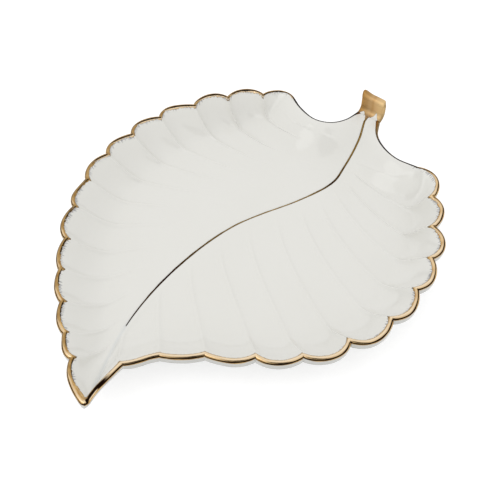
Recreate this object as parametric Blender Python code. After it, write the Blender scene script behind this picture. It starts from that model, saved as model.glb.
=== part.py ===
# Leaf-shaped porcelain jewelry tray: a scalloped, fluted dish with a gilded rim, a gilded
# midrib, an upturned stem to hold it by and an unglazed foot ring underneath.
# Metres, +Z up. The leaf is drawn with its tip at (0, 0) and its stem toward +X, and the
# finished tray is then moved so that it stands on z = 0 with its box centred on the origin.

import math

import bpy
from mathutils import Vector

# Driving dimensions, metres and degrees
leaf_length = 0.229  # tip to the root of the stem
leaf_width = 0.180  # across the leaf, over the notches between lobes
rim_height = 0.0195  # table to the crest of the rim
rim_wall = 0.0028  # thickness of the rounded rim
floor_wall = 0.0038  # thickness of the floor
wall_width = 0.022  # plan width of the rising wall behind the lobes
neck_width = 0.036  # plan width of the rise toward the neck
rim_slope = 42.0  # angle of the wall at the lobed rim
neck_slope = 16.0  # angle of the wall where the stem grows out of it
steepest_share = 2.5  # steepest end of a rise, of its mean slope
ridge_height = 0.0005  # height of a ridge above the lobes beside it
seat_gap = 0.0003  # clearance between pieces that touch
tip_blunting = 0.0012  # how far the pointed tip is drawn back from its sharp corner

# Scalloped edge: lobes between notches, from the tip to the shoulder on each side
right_lobes = 12
left_lobes = 14
lobe_bulge_share = 0.19  # height of a lobe's arc, of the chord between its notches
young_bulge_share = 0.13  # the same for the lobe next to the tip
tip_right_bulge_share = 0.015
tip_left_bulge_share = 0.11
right_shoulder_bulge_share = 0.29
left_shoulder_bulge_share = 0.33
young_lobe_shares = (0.75, 0.88, 0.95)  # the lobes next to the tip are shorter than the rest
young_lobes = 5  # lobes over which the bulge grows to its full share
ridge_width_share = 0.08  # reach of a ridge to either side, of the lobe there
ridge_growth_share = 0.5  # stretch of the wall over which a ridge grows
right_ridge_fade_shares = (0.75, 0.95)  # stretch of the vein over which a ridge runs out
left_ridge_fade_shares = (0.30, 0.65)
neck_steps = 12
root_steps = 3

# Notch lines and necks, x of leaf_length and y of leaf_width
right_notch_shares = (
    (0.104, 0.014),
    (0.213, -0.135),
    (0.318, -0.323),
    (0.493, -0.446),
    (0.683, -0.429),
    (0.855, -0.315),
)
left_notch_shares = (
    (0.059, 0.115),
    (0.151, 0.251),
    (0.280, 0.398),
    (0.528, 0.538),
    (0.790, 0.482),
    (0.927, 0.328),
)
right_neck_shares = (
    (0.909, -0.231),
    (0.901, -0.165),
    (0.915, -0.100),
    (0.949, -0.049),
)
left_neck_shares = (
    (0.953, 0.250),
    (0.930, 0.200),
    (0.914, 0.136),
    (0.926, 0.083),
    (0.960, 0.050),
)
midrib_shares = (
    (0.044, 0.028),
    (0.191, 0.110),
    (0.365, 0.133),
    (0.548, 0.101),
    (0.709, 0.002),
    (0.797, -0.033),
    (0.862, -0.031),
    (0.935, -0.009),
    (0.985, 0.0035),
)
# Where the veins leave the midrib: share of the lobed edge, share of the midrib
vein_root_shares = (
    (0.0, 0.0),
    (0.17, 0.31),
    (0.50, 0.65),
    (0.83, 0.845),
    (1.0, 0.895),
)
vein_lean_share = 0.45  # how far a vein leans toward the tip as it leaves the midrib
vein_bow_share = 0.30  # reach of that lean, of the vein's length
vein_square_share = 0.24  # reach of the stretch that meets the rim squarely
neck_square_share = 0.45  # the same at the shoulder, where the veins pass round the neck's hollow
fall_blend = 4.0  # how sharply the wall turns from its own fall to the neck's
stem_side_shares = (0.4, 0.8)  # stretch of the neck over which the neck's fall gives way
# How the midrib climbs out of the floor at both ends of the leaf
tip_climb = 0.040  # stretch of the midrib that climbs to the tip
tip_lift_share = 0.50  # climb reached there, of the climb from the floor to the rim
tip_climb_power = 1.6
stem_climb = 0.043  # stretch of the midrib that climbs to the stem
floor_ring_shares = (0.5, 0.8)  # rings of the floor between the wall's foot and the midrib
wall_ring_shares = (0.14, 0.30, 0.52, 0.76, 1.0)  # rings of the inside of the wall
back_ring_shares = (0.2, 0.55, 1.0)  # rings of the outside of the wall

# Gilding
gilding_skin = 0.0003
rim_band = 0.0030  # plan width of the gold inside the crest
neck_band = 0.0015  # the same along the neck
line_width = 0.0011
line_tip_share = 0.45  # width of the gold line where it runs out, of line_width
line_span_shares = (0.17, 0.998)  # stretch of the midrib that is gilded
groove_shoulder = 0.0006  # plan width of the groove's sloping sides
groove_fade_share = 0.015  # stretch of the midrib over which the groove runs out past the gold
line_growth_share = 0.25  # stretch of the gold line over which it reaches its full width

# Stem
stem_angle = -3.0  # plan direction of the stem, degrees from +X
stem_root_shares = (1.005, 0.0043)  # middle of the stem's root
stem_width = 0.0148
stem_middle = 0.0152
stem_top = 0.0122
stem_steep = 88.0  # angle of its rising stretch
stem_bend = 0.005  # radius of the bend that turns it upward
stem_rise = 0.0042  # straight stretch above that bend
stem_curl = 0.0017  # radius of the curl at its end
stem_curl_end = -70.0  # heading of the curl's end
stem_edge = 0.0012  # rounding of the strap's edges

# Foot ring
foot_height = 0.0025
foot_length = 0.124
foot_width = 0.104
foot_center_shares = (0.54, 0.05)  # of leaf_length and leaf_width
foot_seat = 0.0042  # width where it meets the body
foot_tread = 0.0028  # width where it meets the table
foot_steps = 64

# Fineness of the curves, and limits that keep narrow corners clean
curve_steps = 24  # pieces of a smooth curve between two of its points
neck_detail = 3  # step between the points of the neck that a gap is measured to
vein_steps = 12
vein_curve_steps = 4
bend_steps = 6
curl_steps = 10
corner_stretch = 1.45  # most that a corner of the rim is drawn out to keep its width
groove_slant = 0.7  # least sine of a vein's angle to the midrib that the groove allows for
wall_share = 0.8  # most of a short vein that the rise may take up
least_fall = 1e-6

# Sizes that follow from the driving ones
half_rim = rim_wall / 2
half_floor = floor_wall / 2
floor_center = foot_height + seat_gap + half_floor
rim_center = rim_height - half_rim
groove_depth = gilding_skin + seat_gap
groove_half = line_width / 2 + seat_gap
lobe_steps = math.lcm(right_lobes, left_lobes)
side_steps = lobe_steps + neck_steps + root_steps


def clear_scene():
    for item in list(bpy.data.objects):
        bpy.data.objects.remove(item, do_unlink=True)


def plan_point(share):
    return Vector((share[0] * leaf_length, share[1] * leaf_width))


def mix(a, b, t):
    return a + (b - a) * t


def smooth_step(t):
    t = min(max(t, 0.0), 1.0)
    return t * t * (3 - 2 * t)


def turned(vector, angle):
    return Vector((
        vector.x * math.cos(angle) - vector.y * math.sin(angle),
        vector.x * math.sin(angle) + vector.y * math.cos(angle),
    ))


# A smooth curve through plan points, read at shares of its length
class SmoothCurve:
    def __init__(self, points, detail=curve_steps):
        ends = [points[0] * 2 - points[1]] + list(points) + [points[-1] * 2 - points[-2]]
        self.points = []
        for a, b, c, d in zip(ends, ends[1:], ends[2:], ends[3:]):
            for step in range(detail):
                t = step / detail
                self.points.append(
                    0.5 * (2 * b + (c - a) * t + (2 * a - 5 * b + 4 * c - d) * t * t
                           + (3 * b - a - 3 * c + d) * t ** 3)
                )
        self.points.append(points[-1])
        self.lengths = [0.0]
        for a, b in zip(self.points, self.points[1:]):
            self.lengths.append(self.lengths[-1] + (b - a).length)
        self.length = self.lengths[-1]

    def at_length(self, length):
        length = min(max(length, 0.0), self.length)
        last = len(self.lengths) - 2
        low, high = 0, last
        while low < high:
            middle = (low + high + 1) // 2
            if self.lengths[middle] <= length:
                low = middle
            else:
                high = middle - 1
        span = self.lengths[low + 1] - self.lengths[low]
        return mix(self.points[low], self.points[low + 1], (length - self.lengths[low]) / span)

    def at(self, share):
        return self.at_length(share * self.length)

    def direction(self, share):
        reach = 1 / len(self.points)
        return (self.at(share + reach) - self.at(share - reach)).normalized()


# Value at t of a smooth rising curve through pairs
def value_through(pairs, t):
    curve = SmoothCurve([Vector(pair) for pair in pairs])
    for a, b in zip(curve.points, curve.points[1:]):
        if t <= b.x:
            return mix(a.y, b.y, (t - a.x) / (b.x - a.x))
    return pairs[-1][1]


# Points of an arc from start to end that bulges to the given side, without its end point
def arc_points(start, end, bulge_share, side, steps):
    chord = end - start
    outward = Vector((chord.y, -chord.x)) * side
    half_angle = 2 * math.atan(2 * bulge_share)
    radius_share = 1 / (2 * math.sin(half_angle))
    center = (start + end) / 2 - outward * (radius_share * math.cos(half_angle))
    arm = start - center
    return [center + turned(arm, side * 2 * half_angle * step / steps) for step in range(steps)]


# Notches between lobes, spread along a smooth line with the first lobes shorter
def notch_points(shares, lobes):
    line = SmoothCurve([plan_point(share) for share in shares])
    sizes = [young_lobe_shares[k] if k < len(young_lobe_shares) else 1.0 for k in range(lobes - 2)]
    points, run = [], 0.0
    for size in [0.0] + sizes:
        run += size / sum(sizes)
        points.append(line.at(run))
    return points


stem_heading = Vector((math.cos(math.radians(stem_angle)), math.sin(math.radians(stem_angle))))
stem_across = Vector((-stem_heading.y, stem_heading.x))
root_center = plan_point(stem_root_shares)
midrib = SmoothCurve([plan_point(share) for share in midrib_shares])


# One place on the edge: its point on the rim's centre line, its outward direction and how far
# a corner stretches the section there, with the vein that runs back from it to the midrib
class Station:
    pass


# Centre line of the rim down one side, from the tip to the middle of the stem's root.
# side is 1 on the right of the leaf, seen from the tip, and -1 on the left.
def edge_line(side):
    right = side > 0
    lobes = right_lobes if right else left_lobes
    steps = lobe_steps // lobes
    notches = notch_points(right_notch_shares if right else left_notch_shares, lobes)
    neck_shares = right_neck_shares if right else left_neck_shares
    tip_bulge = tip_right_bulge_share if right else tip_left_bulge_share
    shoulder_bulge = right_shoulder_bulge_share if right else left_shoulder_bulge_share
    root = root_center - stem_across * side * (stem_width / 2 - half_rim)
    corners = [Vector((0.0, 0.0))] + notches + [plan_point(neck_shares[0])]
    grown = [smooth_step(k / young_lobes) for k in range(lobes - 2)]
    bulges = [mix(young_bulge_share, lobe_bulge_share, share) for share in grown]
    bulges = [tip_bulge] + bulges + [shoulder_bulge]
    points, phases = [], []
    for start, end, bulge in zip(corners, corners[1:], bulges):
        for step, point in enumerate(arc_points(start, end, bulge, side, steps)):
            points.append(point)
            phases.append(step / steps)
    neck = SmoothCurve([plan_point(share) for share in neck_shares] + [root])
    reach = neck.length - half_rim
    points += [neck.at_length(reach * step / (neck_steps - 1)) for step in range(neck_steps)]
    points += [mix(root, root_center, step / root_steps) for step in range(root_steps + 1)]
    phases += [0.0] * (neck_steps + root_steps + 1)
    return points, phases, neck.points[::neck_detail]


def outward(before, after, side):
    along = (after - before).normalized()
    return Vector((along.y, -along.x)) * side


# Every station of one side, index 0 at the tip and side_steps at the stem's root
def make_stations(side):
    points, phases, neck_line = edge_line(side)
    other, _, _ = edge_line(-side)
    stations = []
    for k, point in enumerate(points):
        before = points[k - 1] if k else other[1]
        after = points[k + 1] if k < side_steps else other[side_steps - 1]
        turn_in = outward(before, point, side)
        turn_out = outward(point, after, side)
        station = Station()
        station.side = side
        station.index = k
        station.point = point
        station.normal = (turn_in + turn_out).normalized()
        station.stretch = min(1 / station.normal.dot(turn_out), corner_stretch)
        station.phase = phases[k]
        edge_share = min(k / lobe_steps, 1.0)
        station.neck = smooth_step((k - lobe_steps * (1 - 1 / right_lobes)) / neck_steps)
        station.at_root = k >= lobe_steps + neck_steps
        station.at_corner = k == lobe_steps + neck_steps
        shoulder = smooth_step((k - lobe_steps) * right_lobes / lobe_steps + 1)
        station.slope = math.radians(mix(rim_slope, neck_slope, shoulder))
        station.width = mix(wall_width, neck_width, station.neck)
        root_share = value_through(vein_root_shares, edge_share)
        late = (k - lobe_steps) / (neck_steps + root_steps)
        station.midrib_share = mix(root_share, 1.0, max(late, 0.0))
        first, last = stem_side_shares
        station.near_stem = smooth_step((late - first) / (last - first))
        station.neck_line = neck_line
        span = lobe_steps // (right_lobes if side > 0 else left_lobes)
        other_span = lobe_steps // (left_lobes if side > 0 else right_lobes)
        behind = points[k - span] if k >= span else other[other_span * (span - k) // span]
        ahead = points[k + span] if k + span <= side_steps else other[2 * side_steps - k - span]
        station.inward = -outward(behind, ahead, side)
        if not k:
            station.point = point - station.normal * tip_blunting
        station.vein = make_vein(station)
        leaving = (station.vein.at(0.9) - station.vein.at(1.0)).normalized()
        station.along = leaving.dot(midrib.direction(station.midrib_share))
        station.width = min(station.width, station.vein.length)
        station.fall_end = min(free_fall(station, station.vein.length)[1], 1.0)
        stations.append(station)
    return stations


def line_gap(point, line):
    gaps = []
    for a, b in zip(line, line[1:]):
        way = b - a
        share = min(max((point - a).dot(way) / way.length_squared, 0.0), 1.0)
        gaps.append((point - a - way * share).length)
    return min(gaps)


# The wall falls along its vein, but no faster than it gets away from the neck: share of the
# fall along the vein, share of the whole fall, the wall's plan width there, how far the neck decides
def free_fall(station, distance):
    own = max(distance / station.width, least_fall)
    gap = line_gap(station.vein.at_length(distance), station.neck_line)
    beside = max(gap / neck_width, least_fall)
    fall = (own ** -fall_blend + beside ** -fall_blend) ** (-1 / fall_blend)
    own_pace = (fall / own) ** (fall_blend + 1) / station.width
    neck_pace = (fall / beside) ** (fall_blend + 1) / neck_width
    return own, fall, 1 / (own_pace + neck_pace), (fall / beside) ** fall_blend


# The same, ending at 1 on the midrib and without the neck's say beside the stem
def wall_fall(station, distance):
    own, fall, spread, by_neck = free_fall(station, distance)
    end, plain = station.fall_end, station.near_stem
    return mix(fall / end, own, plain), mix(spread * end, station.width, plain), by_neck


# Plan curve from the rim back to the midrib. It leaves the midrib leaning toward the tip.
def make_vein(station):
    start = midrib.at(station.midrib_share)
    run = station.point - start
    tipward = -midrib.direction(station.midrib_share)
    lean = (run.normalized() + tipward * (vein_lean_share * (1 - station.neck))).normalized()
    bend = start + lean * (run.length * vein_bow_share)
    past = station.index - lobe_steps
    near = 1 + past * right_lobes / lobe_steps if past < 0 else 1 - past / neck_steps
    square_share = mix(vein_square_share, neck_square_share, smooth_step(near))
    square = station.point + station.inward * (run.length * square_share)
    points = []
    for step in range(vein_steps + 1):
        t = step / vein_steps
        first, middle, last = mix(station.point, square, t), mix(square, bend, t), mix(bend, start, t)
        points.append(mix(mix(first, middle, t), mix(middle, last, t), t))
    return SmoothCurve(points, vein_curve_steps)


# Smooth climb over a stretch, at t of the way, with the slopes it starts and ends at: height
# above its foot, and slope
def climb(t, stretch, rise, first_slope, last_slope):
    t = min(max(t, 0.0), 1.0)
    height = rise * smooth_step(t)
    height += stretch * (first_slope * t * (1 - t) ** 2 - last_slope * t * t * (1 - t))
    slope = rise / stretch * 6 * t * (1 - t)
    slope += first_slope * (1 - t) * (1 - 3 * t) + last_slope * t * (3 * t - 2)
    return height, slope


# Middle surface of the body along the midrib, which climbs to the tip and to the stem: height,
# and slope toward the stem
def crease(share):
    gone = share * midrib.length
    left = (1 - share) * midrib.length + (root_center - midrib.at(1.0)).length
    full = rim_center - floor_center
    up, slope = climb(1 - left / stem_climb, stem_climb, full, 0.0, math.tan(math.radians(neck_slope)))
    near_tip = max(1 - gone / tip_climb, 0.0)
    up += full * tip_lift_share * near_tip ** tip_climb_power
    slope -= full * tip_lift_share / tip_climb * tip_climb_power * near_tip ** (tip_climb_power - 1)
    return floor_center + up, slope


# Height of the body's middle surface at a plan distance in from the rim, and its slope
def middle_surface(station, distance):
    spare = station.vein.length - station.width
    climbing = smooth_step(distance / spare) if spare > 0 else 1.0
    crease_height, crease_slope = crease(station.midrib_share)
    low = mix(floor_center, crease_height, climbing)
    rise = rim_center - low
    fall, spread, by_neck = wall_fall(station, distance)
    last = mix(math.tan(station.slope), math.tan(math.radians(neck_slope)), by_neck)
    last = min(last, steepest_share * rise / spread)
    first = crease_slope * station.along * (1 - smooth_step(spare / station.width))
    height, slope = climb(1 - fall, spread, rise, first, last)
    return low + height, slope


# How deep the lobe lies below its ridges: a ridge grows up the wall, and runs out on the floor
def hollow(station, distance):
    first, last = right_ridge_fade_shares if station.side > 0 else left_ridge_fade_shares
    grown = smooth_step(distance / station.width / ridge_growth_share)
    gone = smooth_step((distance / station.vein.length - first) / (last - first))
    ridged = 0.0 if station.index >= lobe_steps else 1 - station.neck
    to_ridge = min(station.phase, 1 - station.phase)
    below = 1 - math.exp(-((to_ridge / ridge_width_share) ** 2))
    return ridge_height * ridged * grown * (1 - gone) * below


# A point of the body's face, or of a skin that lies over it by the given offset
def face_point(station, distance, top, offset=0.0):
    place = station.vein.at_length(distance)
    height, grade = middle_surface(station, distance)
    half = mix(half_rim, half_floor, smooth_step(distance / station.width))
    thick = (half + offset) * math.sqrt(1 + grade * grade)
    if top:
        return Vector((place.x, place.y, height + thick - hollow(station, distance)))
    return Vector((place.x, place.y, height - thick))


# A point of the rounded rim: turn runs from 1 at the inner side to -1 at the outer side.
# At the stem's root the edge is cut off flat, square to the slope of the stem.
def rim_point(station, turn, offset=0.0):
    radius = half_rim + offset
    along = radius * math.cos(turn * math.pi / 2)
    across = radius * math.sin(turn * math.pi / 2)
    out = along * math.cos(station.slope) - across * math.sin(station.slope)
    up = along * math.sin(station.slope) + across * math.cos(station.slope)
    plan = station.point + station.normal * (out * station.stretch)
    if station.at_root:
        edge = along if station.at_corner else 0.0
        up = across * math.cos(station.slope)
        plan = station.point - stem_across * station.side * edge
        plan -= stem_heading * (across * math.sin(station.slope))
    return Vector((plan.x, plan.y, rim_center + up))


# Distance in from the rim of a point beside the midrib, at the given reach from its middle
def groove_point(station, reach):
    length = station.vein.length
    start = station.vein.at_length(length)
    run = (station.vein.at_length(length - groove_half) - start).normalized()
    midrib_way = midrib.direction(station.midrib_share)
    slant = abs(run.x * midrib_way.y - run.y * midrib_way.x)
    return length - reach / max(slant, groove_slant)


# Depth of the groove for the gold line, which runs out past both ends of the line
def groove_cut(station):
    first, last = line_span_shares
    short = max(first - station.midrib_share, station.midrib_share - last, 0.0)
    return groove_depth * smooth_step(1 - short / groove_fade_share)


# The bottom of the groove, on the midrib itself
def groove_bottom(station):
    point = face_point(station, station.vein.length, True)
    point.z -= groove_cut(station)
    return point


# Section of the body at one station, without the midrib points that both sides share
def body_section(station):
    length = station.vein.length
    last = groove_point(station, groove_half + groove_shoulder)
    width = min(station.width, last * wall_share)
    points = []
    for reach, depth in ((groove_half, groove_cut(station)), (groove_half + groove_shoulder, 0.0)):
        point = face_point(station, groove_point(station, reach), True)
        point.z -= depth
        points.append(point)
    for share in reversed(floor_ring_shares):
        points.append(face_point(station, mix(width, last, share), True))
    for share in reversed(wall_ring_shares):
        points.append(face_point(station, width * share, True))
    for turn in (1.0, 0.5, 0.0, -0.5, -1.0):
        points.append(rim_point(station, turn))
    for share in back_ring_shares:
        points.append(face_point(station, width * share, False))
    points.append(face_point(station, mix(width, length, 0.5), False))
    return points


def new_material(name, color, roughness, metallic):
    material = bpy.data.materials.new(name)
    material.use_nodes = True
    shader = material.node_tree.nodes["Principled BSDF"]
    shader.inputs["Base Color"].default_value = (*color, 1.0)
    shader.inputs["Roughness"].default_value = roughness
    shader.inputs["Metallic"].default_value = metallic
    return material


def add_object(name, points, faces, material, sharp_angle):
    mesh = bpy.data.meshes.new(name)
    mesh.from_pydata([tuple(point) for point in points], [], faces)
    mesh.validate()
    mesh.materials.append(material)
    mesh.shade_smooth()
    mesh.set_sharp_from_angle(angle=math.radians(sharp_angle))
    item = bpy.data.objects.new(name, mesh)
    bpy.context.scene.collection.objects.link(item)
    return item


# Faces of a skin stretched over rows of points; each row is closed, and the run of rows is
# closed too or gets a cap at both ends
def loft_faces(row_count, row_size, closed):
    faces = []
    for row in range(row_count if closed else row_count - 1):
        here, there = row * row_size, (row + 1) % row_count * row_size
        for column in range(row_size):
            beside = (column + 1) % row_size
            faces.append((here + column, here + beside, there + beside, there + column))
    if not closed:
        faces.append(tuple(reversed(range(row_size))))
        last = (row_count - 1) * row_size
        faces.append(tuple(range(last, last + row_size)))
    return faces


# The dished and fluted leaf
def make_leaf_body(around, right, material):
    points, faces = [], []
    points.extend(groove_bottom(station) for station in right)
    points.extend(face_point(station, station.vein.length, False) for station in right)
    row = side_steps + 1
    section_size = len(body_section(right[0]))
    for station in around:
        points.extend(body_section(station))
    for i, station in enumerate(around):
        after = around[(i + 1) % len(around)]
        here = 2 * row + i * section_size
        there = 2 * row + (i + 1) % len(around) * section_size
        mine = [station.index] + list(range(here, here + section_size)) + [row + station.index]
        theirs = [after.index] + list(range(there, there + section_size)) + [row + after.index]
        for a, b, c, d in zip(mine, mine[1:], theirs[1:], theirs):
            faces.append((a, b, c, d))
    return add_object("leaf_body", points, faces, material, 40.0)


# Gold over the crest of the rim, from one side of the stem round the tip to the other. It
# reaches down the inside of the lobes, and narrows to a line along the neck.
def make_rim_gilding(around, material):
    reach = lobe_steps + neck_steps - 1  # the last station before the stem's root
    run = around[-reach:] + around[:reach + 1]
    points = []
    for station in run:
        band = mix(rim_band, neck_band, station.neck)
        skins = []
        for offset in (seat_gap + gilding_skin, seat_gap):
            skin = [face_point(station, band, True, offset)]
            skin += [rim_point(station, turn, offset) for turn in (1.0, 0.5, 0.0, -0.5)]
            skins.append(skin)
        points.extend(skins[0] + skins[1][::-1])
    faces = loft_faces(len(run), len(points) // len(run), False)
    return add_object("rim_gilding", points, faces, material, 50.0)


# Gold line lying in the groove along the midrib, thinner toward the tip
def make_midrib_gilding(right, left, material):
    first, last = line_span_shares
    points = []
    for mine, other in zip(right, left):
        if not first <= mine.midrib_share <= last:
            continue
        grown = smooth_step((mine.midrib_share - first) / (last - first) / line_growth_share)
        reach = line_width / 2 * mix(line_tip_share, 1.0, grown) / groove_half
        bottom = groove_bottom(mine)
        edges = [mix(bottom, body_section(station)[0], reach) for station in (other, mine)]
        row = [edges[0], bottom, edges[1]]
        points.extend(point + Vector((0.0, 0.0, seat_gap + gilding_skin)) for point in row)
        points.extend(point + Vector((0.0, 0.0, seat_gap)) for point in reversed(row))
    row_size = 2 * len(row)
    faces = loft_faces(len(points) // row_size, row_size, False)
    return add_object("midrib_gilding", points, faces, material, 30.0)


# Path of the strap's middle in its own upright plane: run from the root, height and heading
def stem_path():
    heading = math.radians(neck_slope)
    steep = math.radians(stem_steep)
    end = math.radians(stem_curl_end)
    run, height = seat_gap * math.cos(heading), seat_gap * math.sin(heading)
    path = [(run, height, heading)]
    for step in range(bend_steps):
        nearer = mix(heading, steep, step / bend_steps)
        farther = mix(heading, steep, (step + 1) / bend_steps)
        run += stem_bend * (math.sin(farther) - math.sin(nearer))
        height += stem_bend * (math.cos(nearer) - math.cos(farther))
        path.append((run, height, farther))
    run += stem_rise * math.cos(steep)
    height += stem_rise * math.sin(steep)
    path.append((run, height, steep))
    for step in range(curl_steps):
        nearer = mix(steep, end, step / curl_steps)
        farther = mix(steep, end, (step + 1) / curl_steps)
        run += stem_curl * (math.sin(nearer) - math.sin(farther))
        height += stem_curl * (math.cos(farther) - math.cos(nearer))
        path.append((run, height, farther))
    return path


# The strap-like stem, its edges rounded, its end rolled over
def make_stem(material):
    path = stem_path()
    points = []
    for k, (run, height, heading) in enumerate(path):
        share = k / (len(path) - 1)
        lower = mix(stem_width, stem_middle, smooth_step(share * 2))
        half = mix(lower, stem_top, smooth_step(share * 2 - 1)) / 2
        for side, level in ((1, 1), (-1, 1), (-1, -1), (1, -1)):
            for turn in (0.0, 0.5, 1.0):
                quarter = turn if side == level else 1 - turn
                angle = quarter * math.pi / 2
                reach = half - stem_edge * (1 - math.cos(angle))
                rise = half_rim - stem_edge * (1 - math.sin(angle))
                plan = root_center + stem_heading * (run - level * rise * math.sin(heading))
                plan += stem_across * side * reach
                up = height + level * rise * math.cos(heading)
                points.append(Vector((plan.x, plan.y, rim_center + up)))
    return add_object("stem_handle", points, loft_faces(len(path), 12, False), material, 50.0)


# Oval ring under the flat floor
def make_foot_ring(material):
    center = plan_point(foot_center_shares)
    points = []
    for step in range(foot_steps):
        angle = math.tau * step / foot_steps
        way = Vector((math.cos(angle) * foot_width, math.sin(angle) * foot_length)).normalized()
        middle = center + Vector((math.cos(angle) * foot_length / 2, math.sin(angle) * foot_width / 2))
        for reach, height in (
            (-foot_seat / 2, foot_height),
            (foot_seat / 2, foot_height),
            (foot_tread / 2, 0.0),
            (-foot_tread / 2, 0.0),
        ):
            plan = middle + way * reach
            points.append(Vector((plan.x, plan.y, height)))
    return add_object("foot_ring", points, loft_faces(foot_steps, 4, True), material, 30.0)


# Stand the tray on z = 0 with its plan box centred on the origin
def center_tray(items):
    corners = [vertex.co for item in items for vertex in item.data.vertices]
    low_x, high_x = min(c.x for c in corners), max(c.x for c in corners)
    low_y, high_y = min(c.y for c in corners), max(c.y for c in corners)
    shift = Vector(((low_x + high_x) / 2, (low_y + high_y) / 2, 0.0))
    for item in items:
        for vertex in item.data.vertices:
            vertex.co -= shift


def build_tray():
    clear_scene()
    glaze = new_material("white_glaze", (0.78, 0.78, 0.75), 0.12, 0.0)
    gold = new_material("gold_lustre", (0.72, 0.45, 0.16), 0.22, 1.0)
    bisque = new_material("bare_porcelain", (0.80, 0.77, 0.70), 0.75, 0.0)
    right, left = make_stations(1), make_stations(-1)
    around = right + left[side_steps - 1:0:-1]
    items = [
        make_leaf_body(around, right, glaze),
        make_rim_gilding(around, gold),
        make_midrib_gilding(right, left, gold),
        make_stem(gold),
        make_foot_ring(bisque),
    ]
    center_tray(items)


build_tray()
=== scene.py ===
import math

import bmesh
import bpy
import numpy as np
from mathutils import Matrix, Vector
from mathutils.bvhtree import BVHTree


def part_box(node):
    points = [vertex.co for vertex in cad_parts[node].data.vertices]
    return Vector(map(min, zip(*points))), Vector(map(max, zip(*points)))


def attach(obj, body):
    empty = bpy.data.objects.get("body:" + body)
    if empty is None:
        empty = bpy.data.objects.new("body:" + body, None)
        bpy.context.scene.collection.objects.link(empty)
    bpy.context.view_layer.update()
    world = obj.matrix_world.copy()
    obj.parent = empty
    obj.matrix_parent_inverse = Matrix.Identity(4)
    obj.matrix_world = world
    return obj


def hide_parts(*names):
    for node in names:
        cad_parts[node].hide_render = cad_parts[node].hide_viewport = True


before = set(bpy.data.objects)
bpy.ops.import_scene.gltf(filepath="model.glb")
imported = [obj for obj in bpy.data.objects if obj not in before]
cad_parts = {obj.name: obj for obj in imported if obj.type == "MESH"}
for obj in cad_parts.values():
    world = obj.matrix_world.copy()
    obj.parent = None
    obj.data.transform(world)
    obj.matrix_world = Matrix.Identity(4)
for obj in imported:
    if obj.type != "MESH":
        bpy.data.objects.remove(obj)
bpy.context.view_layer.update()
print("frame loaded:", ", ".join(sorted(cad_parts)))

# The leaf, in metres and degrees, drawn with its tip at (0, 0) and its stem toward +X
leafForm = {
    "length": 0.229,
    "width": 0.180,
    "rimHeight": 0.0195,
    "rimWall": 0.0028,
    "floorWall": 0.0038,
    "floorLift": 0.0028,  # foot ring and its clearance
    "wallWidth": 0.022,
    "neckWidth": 0.036,
    "fallBlend": 4.0,  # how sharply the wall turns from one fall to the other
    "rimSlope": 42.0,
    "neckSlope": 16.0,
    "steepest": 2.5,
    "tipBlunting": 0.0008,  # what the glaze's rounding takes off the tip
    "tipRound": 0.0012,  # and over what reach
    "plainNeck": (0.4, 0.8),  # of the neck, where the wall turns straight to the stem
    "ridgeHeight": 0.0005,
    "ridgeWidth": 0.08,  # of the lobe beside it
    "ridgeGrowth": 0.5,  # of the wall's width
    "ridgeFade": {1: (0.75, 0.95), -1: (0.30, 0.65)},  # of the vein's length, right and left
    "rightLobes": 12,
    "leftLobes": 14,
    "fineness": 16,  # edge steps for one step of the shared count of both sides
    "neckSteps": 12,
    "rootSteps": 3,
}
# Each lobe's arc from the tip to the neck, right side and left, as shares of its chord
lobeForm = {
    "bulge": {  # how full it is
        1: (-0.038, 0.016, 0.069, 0.132, 0.185, 0.243, 0.252, 0.227, 0.224, 0.271, 0.239, 0.310),
        -1: (0.118, 0.133, 0.120, 0.116, 0.111, 0.168, 0.141, 0.194, 0.213, 0.249, 0.235, 0.312, 0.308,
             0.288),
    },
    "lean": {  # how much fuller its half nearer the tip is
        1: (-0.009, 0.019, -0.002, -0.014, 0.005, -0.010, 0.015, 0.013, 0.011, 0.006, -0.013, -0.022),
        -1: (-0.013, 0.025, 0.008, 0.006, 0.002, 0.008, 0.028, -0.002, 0.021, 0.019, 0.037, -0.015, -0.001,
             -0.009),
    },
}
# Outline from the tip to the neck, and midrib: x of the length, y of the width; 1 is the right side
outline = {
    "notches": {
        1: ((-0.0031, -0.0056), (0.1028, 0.0032), (0.1604, -0.0541), (0.2127, -0.1408), (0.2666, -0.2423),
            (0.3207, -0.3341), (0.4030, -0.3997), (0.4962, -0.4490), (0.5910, -0.4521), (0.6837, -0.4318),
            (0.7654, -0.3802), (0.8467, -0.3228), (0.9095, -0.2328)),
        -1: ((-0.0031, -0.0056), (0.0578, 0.1090), (0.0918, 0.1768), (0.1445, 0.2518), (0.2032, 0.3316),
             (0.2729, 0.3976), (0.3530, 0.4644), (0.4329, 0.5131), (0.5230, 0.5380), (0.6110, 0.5390),
             (0.6979, 0.5237), (0.7842, 0.4741), (0.8574, 0.4130), (0.9182, 0.3314), (0.9536, 0.2484)),
    },
    "neck": {
        1: ((0.9095, -0.2328), (0.9068, -0.165), (0.9235, -0.1065), (0.955, -0.0585)),
        -1: ((0.9536, 0.2484), (0.930, 0.200), (0.914, 0.136), (0.926, 0.083), (0.960, 0.050)),
    },
    "midrib": ((0.0437, 0.0288), (0.1916, 0.1073), (0.3650, 0.1317), (0.5483, 0.1021),
               (0.7108, 0.0074), (0.7977, -0.0294), (0.8611, -0.0253),
               (0.9354, -0.0147), (0.9849, 0.0045)),
    "veinRoots": ((0.0, 0.0), (0.17, 0.31), (0.50, 0.65), (0.83, 0.845), (1.0, 0.895)),
}
veinForm = {
    "lean": 0.45,  # toward the tip, where a vein leaves the midrib
    "bow": 0.30,  # of its length, over which it goes that way
    "square": 0.24,  # and over which it meets the rim square
    "neckSquare": 0.45,
    "steps": 48,
}
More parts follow.
